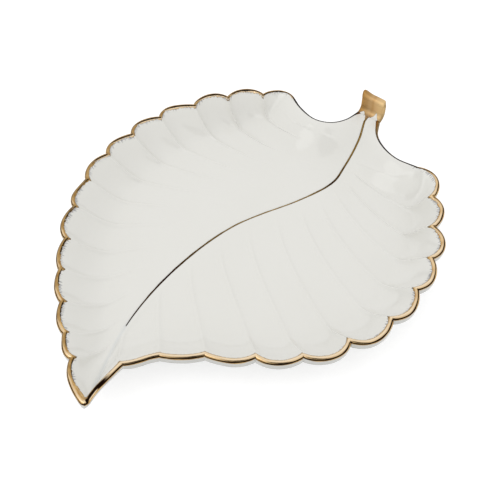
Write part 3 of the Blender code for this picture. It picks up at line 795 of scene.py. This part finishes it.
midribGold = {
    "start": 0.172,  # of the midrib
    "halfWidth": 0.00052,
    # of the half width, by the share of the midrib from the tip
    "thickness": ((0.17, 0.5), (0.24, 0.68), (0.30, 0.95), (0.38, 1.0), (0.48, 0.88), (0.58, 0.72),
                  (0.70, 0.72), (0.78, 1.0), (0.84, 1.08), (0.90, 1.0), (1.0, 1.0)),
    "point": 0.000001,  # half width at its very start
    "waver": 0.00006,
    "waverSize": 0.004,
    "steadyBelow": 0.0004,  # half width under which it wavers less
    "rows": 900,
    "columns": 8,
    "lift": 0.00004,
    "sunk": -0.00008,
    "sunkShare": 1.15,  # of the half width, where the edges are under the glaze
    "intoStem": 0.0005,
    # painted dark reflection of the crease, by the share of the midrib from the tip
    "paintedDarkness": ((0.17, 0.92), (0.25, 0.80), (0.33, 0.90), (0.45, 0.64), (0.55, 0.40), (0.66, 0.22),
              (0.75, 0.38), (0.81, 0.85), (0.87, 0.62), (0.93, 0.36), (1.0, 0.44)),
}


def makeMidribGold(surface, material):
    line = Course(np.vstack([midrib.points, rootCenter]))
    first = midribGold["start"] * midrib.length
    run = np.linspace(first, line.length - midribGold["intoStem"], midribGold["rows"])
    way = line.direction(run)
    aside = np.stack([-way[:, 1], way[:, 0]], axis=-1)
    half = midribGold["halfWidth"] * readTable(midribGold["thickness"], run / midrib.length)
    half = half * np.sqrt(np.minimum((run - first) / midribGold["halfWidth"], 1.0)) + midribGold["point"]
    across = np.linspace(-1, 1, midribGold["columns"] + 1)
    across = np.concatenate([[-midribGold["sunkShare"]], across, [midribGold["sunkShare"]]])
    across = across[None, :] * half[:, None]
    free = np.minimum(half / midribGold["steadyBelow"], 1.0)
    for side, seed in ((1, 21), (-1, 22)):
        waver = wobble(run, midribGold["waverSize"], seed) * midribGold["waver"] * free
        across = across + np.where(across * side > 0, 1.0, 0.0) * waver[:, None] * side
    plan = line.at(run)[:, None, :] + aside[:, None, :] * across[..., None]
    lift = np.full(across.shape[1], midribGold["lift"])
    lift[0] = lift[-1] = midribGold["sunk"]
    return addPiece("midrib_gold", layOn(surface, plan, lift[None, :]), gridFaces(*across.shape),
                    "midrib_gilding", material, {
                        "goldRun": run[:, None],
                        "goldAcross": across,
                        "goldEdge": np.maximum(half[:, None] - np.abs(across), 0.0),
                        # painted dark reflection along the crease
                        "goldPaintedDark": readTable(midribGold["paintedDarkness"], run / midrib.length)[:, None],
                    })


stemSkin = {
    "start": -0.0006,  # the strap begins inside the neck
    "strapRows": 50,
    "goldRows": 150,
    "goldGrowth": 1.3,  # how much closer these stand at the gold's lower edge
    "cornerPoints": 8,
    "backPoints": 8,
    "facePoints": 56,
    "corner": 0.00125,  # rounding of the strap's edges
    "crown": 0.00022,
    "ear": 0.0014,  # the left corner of the rolled end stands up
    "earRise": (0.5, 0.8),  # of the strap's length
    "earWidth": 0.18,
    "flare": 0.0023,  # and out
    "flareRise": (0.4, 1.0),
    "film": 0.00005,
    "sunk": -0.0001,
    "capLength": 0.0009,
    "capRows": 4,
    "capShrink": 0.9,  # of the corner's rounding
    "bristle": 0.0004,
    "bristleSize": 0.0005,
    "bristleInside": 0.02,  # from both edges of the strap
    # painted shade, by the mm up from its root: darker where it spreads on the dish, and at the bend
    "paintedDarkness": ((-6.0, 0.62), (-1.0, 0.52), (1.0, 0.44), (3.5, 0.42), (5.3, 0.36), (6.6, 0.25), (10.0, 0.25),
              (11.2, 0.38), (13.5, 0.42)),
    # lower edge of the gold: share across the strap from left to right, and mm up from its root
    "edge": ((0.0, 0.1), (0.04, -3.2), (0.09, -1.8), (0.13, 0.4), (0.22, 1.7), (0.29, 1.2), (0.34, -0.6),
             (0.40, -1.7), (0.44, -2.7), (0.48, -3.0), (0.51, -2.2), (0.557, -1.1), (0.64, -0.3),
             (0.69, 1.2), (0.705, 2.9), (0.725, 4.4), (0.75, 4.2), (0.78, 3.4), (0.83, 1.6), (0.868, 0.6),
             (0.93, -1.4), (0.965, -2.6), (1.0, 0.1)),
    "backEdge": 0.1,  # and on its back
}


# The strap's middle line in its own upright plane, read at lengths from the root
def stemLine():
    angles = leafForm["neckSlope"], stemForm["steep"], stemForm["curlEnd"]
    low, steep, end = (math.radians(angle) for angle in angles)
    turns = np.array([stemForm["bend"] * (steep - low), stemForm["rise"], stemForm["curl"] * (steep - end)])
    corners = np.concatenate([[0.0], np.cumsum(turns)])
    length = np.linspace(0, corners[-1], 400)
    heading = np.interp(length, corners, [low, steep, steep, end])
    steps, middle = np.diff(length), (heading[1:] + heading[:-1]) / 2
    run = np.concatenate([[0.0], np.cumsum(np.cos(middle) * steps)])
    height = np.concatenate([[0.0], np.cumsum(np.sin(middle) * steps)])
    return length, run, height, heading, np.interp(length, corners, stemForm["widthShares"])


# Once round a strap with rounded edges, from the middle of its back over its left edge: how far
# out each point lies of the flat faces' half width and half thickness, and its outward direction
def strapRing():
    quarter = np.radians(np.linspace(0, 90, stemSkin["cornerPoints"]))
    back = np.linspace(0, 1, stemSkin["backPoints"] + 1)[:-1]
    face = np.linspace(1, -1, stemSkin["facePoints"] + 1)[1:-1]
    ring = [(w, -1, 0, -1) for w in back]
    ring += [(1, -1, math.sin(a), -math.cos(a)) for a in quarter]
    ring += [(1, 1, math.cos(a), math.sin(a)) for a in quarter]
    ring += [(w, 1, 0, 1) for w in face]
    ring += [(-1, 1, -math.sin(a), math.cos(a)) for a in quarter]
    ring += [(-1, -1, -math.cos(a), -math.sin(a)) for a in quarter]
    ring += [(-w, -1, 0, -1) for w in back[:0:-1]]
    return np.array(ring).T


def strapPoints(along, offset):
    length, run, height, heading, share = stemLine()
    place = np.clip(along, 0.0, length[-1])
    turn, share = np.interp(place, length, heading), np.interp(place, length, share)
    lower = mix(stemForm["width"], stemForm["middle"], smoothStep(share * 2))
    half = mix(lower, stemForm["top"], smoothStep(share * 2 - 1)) / 2
    reach, rise, outSide, outLevel = (row[None, :] for row in strapRing())
    corner = stemSkin["corner"]
    side = reach * (half - corner) + outSide * (corner + offset)
    level = rise * (halfRim - corner) + outLevel * (corner + offset)
    crown = stemSkin["crown"] * (1 - np.minimum(side / half, 1.0)**2)
    level = level + np.where(rise > 0, crown, 0.0)
    across = (1 - side / half) / 2  # 0 at the left edge and 1 at the right
    left = np.exp(-(across / stemSkin["earWidth"])**2)
    side = side + stemSkin["flare"] * left * ramp(share, *stemSkin["flareRise"])
    past = along - place  # run on straight before the root and past the end
    out = np.interp(place, length, run) + past * np.cos(turn) - level * np.sin(turn)
    plan = rootCenter + stemHeading * out[..., None] + stemAcross * side[..., None]
    up = np.interp(place, length, height) + past * np.sin(turn) + level * np.cos(turn)
    z = rimCenter + up + stemSkin["ear"] * left * ramp(share, *stemSkin["earRise"])
    return np.concatenate([plan, z[..., None]], axis=-1), np.clip(across, 0.0, 1.0)


# Places past the strap's end that round it off, and how far its skin draws in there
def stemCap(end):
    turn = np.linspace(0, math.pi / 2, stemSkin["capRows"] + 2)[1:-1, None]
    drawn = stemSkin["corner"] * stemSkin["capShrink"] * (1 - np.cos(turn))
    return end + stemSkin["capLength"] * np.sin(turn), -drawn


# Faces of a tube round the strap, with its far end closed
def tubeFaces(rows, columns):
    faces = gridFaces(rows, columns, closedColumns=True)
    return faces + [tuple(range((rows - 1) * columns, rows * columns))]


# How much wider than the strap the neck is, at lengths below the root
def neckSpread(along, across):
    wide = np.ones(along.shape)
    for near, side in ((rightSide, -1), (leftSide, 1)):
        line = near["points"][lobeSteps + neckSteps // 2:lobeSteps + neckSteps] - rootCenter
        reach = line @ stemAcross * side + halfRim
        spread = np.interp(along, line @ stemHeading, reach) / (stemForm["width"] / 2)
        wide = np.where((across < 0.5) == (side > 0), spread, wide)
    return wide


def makeStemPorcelain(material):
    end = stemLine()[0][-1]
    capAlong, capOffset = stemCap(end)
    along = np.vstack([np.linspace(stemSkin["start"], end, stemSkin["strapRows"])[:, None], capAlong])
    offset = np.vstack([np.zeros((stemSkin["strapRows"], 1)), capOffset])
    points, _ = strapPoints(along, offset)
    return addPiece("stem_porcelain", points, tubeFaces(*points.shape[:2]), "stem_handle",
                    material, {"rimGap": farAway, "rimRun": along, "midribGap": farAway, "dragged": 0.0})


def makeStemGold(surface, material):
    end = stemLine()[0][-1]
    capAlong, capOffset = stemCap(end)
    ring = strapRing()
    across = strapPoints(np.zeros((1, 1)), 0.0)[1][0]
    face, margin = ring[1] > 0, stemSkin["bristleInside"]
    edge = np.where(face & (ring[3] > 0.5), readTable(stemSkin["edge"], across), stemSkin["backEdge"])
    bristle = wobble(across * stemForm["width"], stemSkin["bristleSize"], 31) * stemSkin["bristle"]
    start = edge / 1000 + np.where(face & (across > margin) & (across < 1 - margin), bristle, 0.0)
    shares = np.linspace(0, 1, stemSkin["goldRows"])**stemSkin["goldGrowth"]
    shares = np.concatenate([[0.0], shares])[:, None]
    along = np.vstack([mix(start[None, :], end, shares), np.repeat(capAlong, len(start), axis=1)])
    offset = np.full(along.shape, stemSkin["film"])
    offset[0] = stemSkin["sunk"]
    offset[-len(capOffset):] += capOffset
    points, across = strapPoints(along, offset)
    onDish = along < stemSkin["start"] * 1.2
    sideways = (0.5 - across) * stemForm["width"] * neckSpread(along, across)
    flat = rootCenter + stemHeading * along[..., None] + stemAcross * sideways[..., None]
    points[onDish] = layOn(surface, flat[onDish], offset[onDish])
    return addPiece("stem_gold", points, tubeFaces(*along.shape), "stem_handle", material, {
        "goldRun": along,
        "goldAcross": (across - 0.5) * stemForm["width"],
        "goldEdge": np.maximum(along - start[None, :], 0.0),
        # painted shade at the root and the bend
        "goldPaintedDark": readTable(stemSkin["paintedDarkness"], along * 1000),
    })


footSkin = {
    "round": 0.0007,  # rounding of the tread's two edges
    "slant": (0.0004, 0.00112),  # out and up from the tread, where the ring's side meets that
    "into": 0.0005,  # how far the ring runs into the floor above it
    "steps": 256,
    "roundSteps": 6,
}


def makeFootRing(material):
    center = planPoint(footForm["center"])
    angle = math.tau * np.arange(footSkin["steps"]) / footSkin["steps"]
    around = np.stack([np.cos(angle), np.sin(angle)], axis=-1)
    middle = center + around * np.array([footForm["length"], footForm["width"]]) / 2
    way = unit(around * np.array([footForm["width"], footForm["length"]]))
    tread, (out, up) = footForm["tread"] / 2, footSkin["slant"]
    side = [(footForm["seat"] / 2, footForm["height"] + footSkin["into"]), (tread + out, up)]
    side += [(tread - footSkin["round"] * (1 - math.cos(a)), footSkin["round"] * (1 - math.sin(a)))
             for a in np.radians(np.linspace(0, 90, footSkin["roundSteps"]))]
    section = np.array(side + [(-reach, z) for reach, z in reversed(side)])
    plan = middle[:, None, :] + way[:, None, :] * section[None, :, :1]
    points = np.concatenate([plan, np.broadcast_to(section[:, 1:], plan.shape[:2] + (1,))], axis=-1)
    faces = gridFaces(len(angle), len(section), closedRows=True, closedColumns=True)
    return addPiece("foot_bisque", points, faces, "foot_ring", material)


def hexColor(text, alpha=1.0):
    parts = [int(text[k:k + 2], 16) / 255 for k in (1, 3, 5)]
    return tuple(c / 12.92 if c <= 0.04045 else ((c + 0.055) / 1.055)**2.4 for c in parts) + (alpha,)


def setInputs(tree, node, inputs):
    for key, value in inputs.items():
        if isinstance(value, bpy.types.NodeSocket):
            tree.links.new(value, node.inputs[key])
        else:
            node.inputs[key].default_value = value


# Adds one node with its settings and links, and gives one of its outputs. MapRange takes its value at
# 0, that value's range at 1 and 2 and its own at 3 and 4, and a Mix of two colours takes them at 6 and 7
def addNode(tree, kind, inputs=None, out=0, **settings):
    node = tree.nodes.new("ShaderNode" + kind)
    for key, value in settings.items():
        setattr(node, key, value)
    setInputs(tree, node, inputs or {})
    return node.outputs[out]


mixesColors = {"data_type": "RGBA", "out": 2}
noiseSpread = {1: 0.3, 2: 0.7}  # where nearly all of a noise's values lie, as MapRange takes it


def newMaterial(name):
    material = bpy.data.materials.new(name)
    material.use_nodes = True
    tree = material.node_tree
    return material, tree, tree.nodes["Principled BSDF"]


glazeLook = {
    "white": "#E3E2DD",
    "cloud": "#E0DFD9",  # slow change in the body's tone
    "cloudScale": 28.0,  # 36 mm
    "pool": "#D6D8D6",  # glaze standing in the crease
    "poolReach": 0.0012,
    "poolAmount": 0.8,
    "fleck": "#86868A",  # dry gold dragged off the brush
    "fleckScale": (2100.0, 330.0, 1.0),  # hairs 0.5 mm apart that drag 3 mm
    "fleckRange": (0.99, 1.16),  # of what the brush left and the hairs' pattern come to
    "fleckAmount": 0.8,
    "peelScale": 220.0,  # 4.5 mm, the soft unevenness of a poured glaze
    "peelDepth": 0.0001,
    "peelStrength": 0.25,
    "roughness": (0.07, 0.14),
    "ior": 1.5,
}


# Clear-glazed porcelain, poured: an even soft white, glassy, faintly uneven where the glaze flowed
def makeGlaze():
    material, tree, shader = newMaterial("clear_glazed_porcelain")
    place = addNode(tree, "TexCoord", out="Object")
    cloud = addNode(tree, "TexNoise", {"Vector": place, "Scale": glazeLook["cloudScale"], "Detail": 3.0})
    tone = addNode(tree, "Mix", {"Factor": cloud, 6: hexColor(glazeLook["cloud"]),
                                 7: hexColor(glazeLook["white"])}, **mixesColors)
    crease = addNode(tree, "Attribute", out="Fac", attribute_name="midribGap")
    pool = addNode(tree, "MapRange", {0: crease, 1: 0.0, 2: glazeLook["poolReach"],
                                      3: glazeLook["poolAmount"], 4: 0.0})
    tone = addNode(tree, "Mix", {"Factor": pool, 6: tone, 7: hexColor(glazeLook["pool"])}, **mixesColors)
    run = addNode(tree, "Attribute", out="Fac", attribute_name="rimRun")
    gap = addNode(tree, "Attribute", out="Fac", attribute_name="rimGap")
    hairs = addNode(tree, "CombineXYZ", {"X": run, "Y": gap})
    hairs = addNode(tree, "VectorMath", {0: hairs, 1: glazeLook["fleckScale"]}, operation="MULTIPLY")
    hairs = addNode(tree, "TexNoise", {"Vector": hairs, "Scale": 1.0, "Detail": 1.0})
    dragged = addNode(tree, "Attribute", out="Fac", attribute_name="dragged")
    amount = addNode(tree, "Math", {0: hairs, 1: dragged}, operation="ADD")
    few, full = glazeLook["fleckRange"]
    fleck = addNode(tree, "MapRange", {0: amount, 1: few, 2: full, 3: 0.0, 4: glazeLook["fleckAmount"]})
    tone = addNode(tree, "Mix", {"Factor": fleck, 6: tone, 7: hexColor(glazeLook["fleck"])}, **mixesColors)
    peel = addNode(tree, "TexNoise", {"Vector": place, "Scale": glazeLook["peelScale"], "Detail": 1.0})
    low, high = glazeLook["roughness"]
    setInputs(tree, shader, {
        "Base Color": tone,
        "Roughness": addNode(tree, "MapRange", {0: peel, **noiseSpread, 3: low, 4: high}),
        "Normal": addNode(tree, "Bump", {"Height": peel, "Strength": glazeLook["peelStrength"],
                                         "Distance": glazeLook["peelDepth"]}),
        "IOR": glazeLook["ior"],
    })
    return material


# What the three golds share
goldSurface = {
    "streakRange": (0.35, 0.65),  # of the streaks' noise, from deep to bright
    "edgeAmount": 0.85,
    # range of the painted darkness, from none to full
    "paintedDarkRange": (0.25, 0.9),
    "strokeStrength": 0.3,
    "strokeDepth": 0.00005,
}


# Fired gold lustre: bright where it is even, with painted dark reflections and shade and painted pale
# highlights mixed into its colour
def makeGold(name, look):
    material, tree, shader = newMaterial(name)
    labels = "goldRun", "goldAcross", "goldEdge", "goldPaintedDark", "goldPaintedHighlight"
    run, across, edge, paintedDark, pale = (addNode(tree, "Attribute", out="Fac", attribute_name=label)
                                     for label in labels)
    spots = addNode(tree, "CombineXYZ", {"X": run, "Y": across})
    spots = addNode(tree, "VectorMath", {0: spots, 1: look["streakScale"]}, operation="MULTIPLY")
    streak = addNode(tree, "TexNoise", {"Vector": spots, "Scale": 1.0, "Detail": look["streakDetail"]})
    low, high = goldSurface["streakRange"]
    share = addNode(tree, "MapRange", {0: streak, 1: low, 2: high, 3: 0.0, 4: 1.0})
    tone = addNode(tree, "Mix", {"Factor": share, 6: hexColor(look["deep"]), 7: hexColor(look["bright"])},
                   **mixesColors)
    # painted shade and painted highlight across the strap
    for color, start, end in look["sides"]:
        share = addNode(tree, "MapRange", {0: across, 1: start, 2: end, 3: 0.0, 4: 1.0})
        tone = addNode(tree, "Mix", {"Factor": share, 6: tone, 7: hexColor(color)}, **mixesColors)
    share = addNode(tree, "MapRange", {0: edge, 1: 0.0, 2: look["edgeWidth"],
                                       3: goldSurface["edgeAmount"], 4: 0.0})
    # painted pale highlight, then the darker edges
    for color, amount in ((look["pale"], pale), (look["edge"], share)):
        tone = addNode(tree, "Mix", {"Factor": amount, 6: tone, 7: hexColor(color)}, **mixesColors)
    # painted dark reflections and painted shade, mixed into the colour
    low, high = goldSurface["paintedDarkRange"]
    share = addNode(tree, "MapRange", {0: paintedDark, 1: low, 2: high, 3: 0.0, 4: 1.0})
    low, high = look["roughness"]
    setInputs(tree, shader, {
        "Base Color": addNode(tree, "Mix", {"Factor": share, 6: tone, 7: hexColor(look["paintedDark"])},
                              **mixesColors),
        "Roughness": addNode(tree, "MapRange", {0: streak, **noiseSpread, 3: low, 4: high}),
        "Normal": addNode(tree, "Bump", {"Height": streak, "Strength": goldSurface["strokeStrength"],
                                         "Distance": goldSurface["strokeDepth"]}),
        "Metallic": 1.0,
    })
    return material


# Laid on with a full brush and fired glossy
rimGoldLook = {
    "bright": "#DDB97E",
    "deep": "#B68C50",
    # colour of the painted highlight on the rim
    "pale": "#F0DCBE",
    "edge": "#6E5A40",
    # colour of the painted dark reflections on the rim
    "paintedDark": "#180C05",
    "sides": (),
    "edgeWidth": 0.00018,
    "streakScale": (260.0, 900.0, 1.0),  # 4 mm along the rim and 1.1 mm across it
    "streakDetail": 3.0,
    "roughness": (0.08, 0.16),
}
# Brushed on in broad strokes down the strap, satin
stemGoldLook = {
    "bright": "#EFCF9E",
    "deep": "#D8AC74",
    "pale": "#F0DCBE",
    "edge": "#8A744E",
    # colour of the painted shade on the strap
    "paintedDark": "#38200F",
    # painted shade toward its left side, painted highlight toward its right side and painted shade on its
    # right edge, and from where to where they grow
    "sides": (("#B88C4C", 0.002, -0.0075), ("#F6D49C", 0.0, 0.0062), ("#8C7040", 0.0066, 0.0077)),
    "edgeWidth": 0.0004,
    "streakScale": (45.0, 260.0, 1.0),  # 22 mm along the strap, strokes 4 mm wide
    "streakDetail": 2.0,
    "roughness": (0.42, 0.55),
}
# One thin stroke of a liner brush, its tones darkened as painted shade for the dark reflections in its
# crease
midribGoldLook = {
    "bright": "#AE8F4E",
    "deep": "#7A5F2E",
    "pale": "#F0DCBE",
    "edge": "#5E4420",
    # colour of the painted dark reflections in the crease
    "paintedDark": "#260F05",
    "sides": (),
    "edgeWidth": 0.00015,
    "streakScale": (300.0, 1500.0, 1.0),  # 3.3 mm along the line and 0.7 mm across it
    "streakDetail": 3.0,
    "roughness": (0.25, 0.4),
}
bisqueLook = {
    "pale": "#E8E2D6",
    "dark": "#D8CFBE",
    "worn": "#BDB3A2",  # where the tread has rubbed
    "grainScale": 900.0,  # 1.1 mm, coarser than the real grain so that it shows
    "blotchScale": 60.0,  # 17 mm
    "wornRange": (0.55, 0.75),  # of the grain
    "wornAmount": 0.5,
    "grainStrength": 0.4,
    "grainDepth": 0.0001,
    "roughness": (0.75, 0.9),
}


# Unglazed porcelain, wiped before firing: dry, matt and faintly sandy
def makeBisque():
    material, tree, shader = newMaterial("unglazed_porcelain")
    place = addNode(tree, "TexCoord", out="Object")
    grain = addNode(tree, "TexNoise", {"Vector": place, "Scale": bisqueLook["grainScale"], "Detail": 4.0})
    blotch = addNode(tree, "TexNoise", {"Vector": place, "Scale": bisqueLook["blotchScale"], "Detail": 2.0})
    tone = addNode(tree, "Mix", {"Factor": blotch, 6: hexColor(bisqueLook["dark"]),
                                 7: hexColor(bisqueLook["pale"])}, **mixesColors)
    low, high = bisqueLook["wornRange"]
    worn = addNode(tree, "MapRange", {0: grain, 1: low, 2: high, 3: 0.0, 4: bisqueLook["wornAmount"]})
    low, high = bisqueLook["roughness"]
    setInputs(tree, shader, {
        "Base Color": addNode(tree, "Mix", {"Factor": worn, 6: tone, 7: hexColor(bisqueLook["worn"])},
                              **mixesColors),
        "Roughness": addNode(tree, "MapRange", {0: grain, **noiseSpread, 3: low, 4: high}),
        "Normal": addNode(tree, "Bump", {"Height": grain, "Strength": bisqueLook["grainStrength"],
                                         "Distance": bisqueLook["grainDepth"]}),
    })
    return material


glaze = makeGlaze()
leafPorcelain = makeLeafBody(glaze)
print("leaf body made:", len(leafPorcelain.data.vertices), "points")
dishTop = makeSurface(leafPorcelain)
rimLustre = makeRimGold(dishTop, makeGold("fired_gold_rim", rimGoldLook))
print("rim gilded:", len(rimLustre.data.vertices), "points")
lineLustre = makeMidribGold(dishTop, makeGold("thin_gold_line", midribGoldLook))
print("midrib gilded:", len(lineLustre.data.vertices), "points")
makeStemPorcelain(glaze)
stemLustre = makeStemGold(dishTop, makeGold("brushed_gold_stem", stemGoldLook))
print("stem made:", len(stemLustre.data.vertices), "points")
footBisque = makeFootRing(makeBisque())
print("foot ring made:", len(footBisque.data.vertices), "points")

studio = {
    # dark room round the sweep: bearing from the camera's own, then lowest and highest elevation
    "surround": ((0, -4, 6), (50, -4, 8), (95, -2, 4), (135, -2, 4), (180, -2, 6), (215, -2, 6),
                 (250, -2, 4), (300, -2, 3), (335, -4, 3)),
    "surroundReach": 2.2,
    "ceiling": ((-35, 58, 92), (45, 58, 92)),  # dark card above the camera: bearings, elevations
    "cardStep": 5,
    "cardColor": "#1A1512",
    "floorSize": 6.0,
    "floorColor": "#BEBEBE",
    "floorGlow": 0.66,
    "worldStrength": 0.95,
    "keyPlace": (-0.55, 0.45, 1.0),
    "keySize": 0.7,
    "keyPower": 1.6,
}


# 1 for the rays that look at the background: the camera's and those in gloss and glass
def seenRays(tree):
    rays = addNode(tree, "LightPath", out="Is Camera Ray").node.outputs
    seen = addNode(tree, "Math", {0: rays["Is Camera Ray"], 1: rays["Is Glossy Ray"]}, operation="MAXIMUM")
    return addNode(tree, "Math", {0: seen, 1: rays["Is Transmission Ray"]}, operation="MAXIMUM")


# Matt white paper floor: it takes only the tray's soft shadow
def makeStudio():
    size = studio["floorSize"] / 2
    corners = [(-size, -size, 0), (size, -size, 0), (size, size, 0), (-size, size, 0)]
    mesh = bpy.data.meshes.new("floor")
    mesh.from_pydata(corners, [], [(0, 1, 2, 3)])
    floor = bpy.data.objects.new("floor", mesh)
    bpy.context.scene.collection.objects.link(floor)
    material, tree, shader = newMaterial("white_sweep")
    tree.nodes.remove(shader)
    glow = addNode(tree, "Math", {0: seenRays(tree), 1: studio["floorGlow"]}, operation="MULTIPLY")
    paper = addNode(tree, "BsdfDiffuse", {"Color": hexColor(studio["floorColor"])})
    light = addNode(tree, "Emission", {"Strength": glow})
    both = addNode(tree, "AddShader", {0: paper, 1: light})
    setInputs(tree, tree.nodes["Material Output"], {"Surface": both})
    mesh.materials.append(material)
    world = bpy.data.worlds.new("studio")
    bpy.context.scene.world = world
    world.use_nodes = True
    tree = world.node_tree
    strength = addNode(tree, "Mix", {"Factor": seenRays(tree), 2: studio["worldStrength"], 3: 1.0})
    setInputs(tree, tree.nodes["Background"], {"Strength": strength, "Color": (1, 1, 1, 1)})


# Dark cards that only glossy rays meet, as a direction grid round the tray
def addCards(name, bearings, lows, highs, material, steps=8):
    shares = np.linspace(0, 1, steps + 1)[None, :]
    angle = np.radians(view["azimuth"] + np.asarray(bearings, float))[:, None]
    level = np.radians(mix(np.asarray(lows, float)[:, None], np.asarray(highs, float)[:, None], shares))
    reach = studio["surroundReach"]
    points = [np.sin(angle) * np.cos(level), -np.cos(angle) * np.cos(level), np.sin(level)]
    points = np.stack(points, axis=-1)
    mesh = bpy.data.meshes.new(name)
    mesh.from_pydata((points * reach).reshape(-1, 3).tolist(), [], gridFaces(len(angle), steps + 1))
    card = bpy.data.objects.new(name, mesh)
    bpy.context.scene.collection.objects.link(card)
    mesh.materials.append(material)
    for ray in ("camera", "diffuse", "transmission", "shadow"):
        setattr(card, "visible_" + ray, False)


def makeCards():
    material, tree, shader = newMaterial("dark_room")
    setInputs(tree, shader, {"Base Color": hexColor(studio["cardColor"]), "Roughness": 1.0})
    surround = studio["surround"] + ((360,) + studio["surround"][0][1:],)
    for name, table in (("dark_surround", surround), ("dark_ceiling", studio["ceiling"])):
        places, lows, highs = np.array(table, float).T
        bearings = np.arange(places[0], places[-1] + 1, studio["cardStep"])
        addCards(name, bearings, np.interp(bearings, places, lows), np.interp(bearings, places, highs),
                 material)


def addSoftbox(name, place, aim, size, power):
    light = bpy.data.lights.new(name, "AREA")
    light.shape = "SQUARE"
    light.size = size
    light.energy = power
    item = bpy.data.objects.new(name, light)
    item.location = place
    item.rotation_euler = (Vector(aim) - Vector(place)).to_track_quat("-Z", "Y").to_euler()
    bpy.context.scene.collection.objects.link(item)
    return item


def makeCamera():
    data = bpy.data.cameras.new("camera")
    camera = bpy.data.objects.new("camera", data)
    bpy.context.scene.collection.objects.link(camera)
    data.sensor_width = view["sensor"]
    data.lens = view["focal"] / view["frame"] * data.sensor_width
    target = Vector((view["target"][0] - shift[0], view["target"][1] - shift[1], rimCenter))
    azimuth, elevation = math.radians(view["azimuth"]), math.radians(view["elevation"])
    back = Vector((math.sin(azimuth) * math.cos(elevation),
                   -math.cos(azimuth) * math.cos(elevation), math.sin(elevation)))
    camera.location = target + back * view["distance"]
    camera.rotation_euler = back.to_track_quat("Z", "Y").to_euler()
    bpy.context.scene.camera = camera


makeStudio()
makeCards()
addSoftbox("key_softbox", studio["keyPlace"], (0, 0, 0), studio["keySize"], studio["keyPower"])
makeCamera()
bpy.context.scene.view_settings.view_transform = "Standard"
print("studio set")
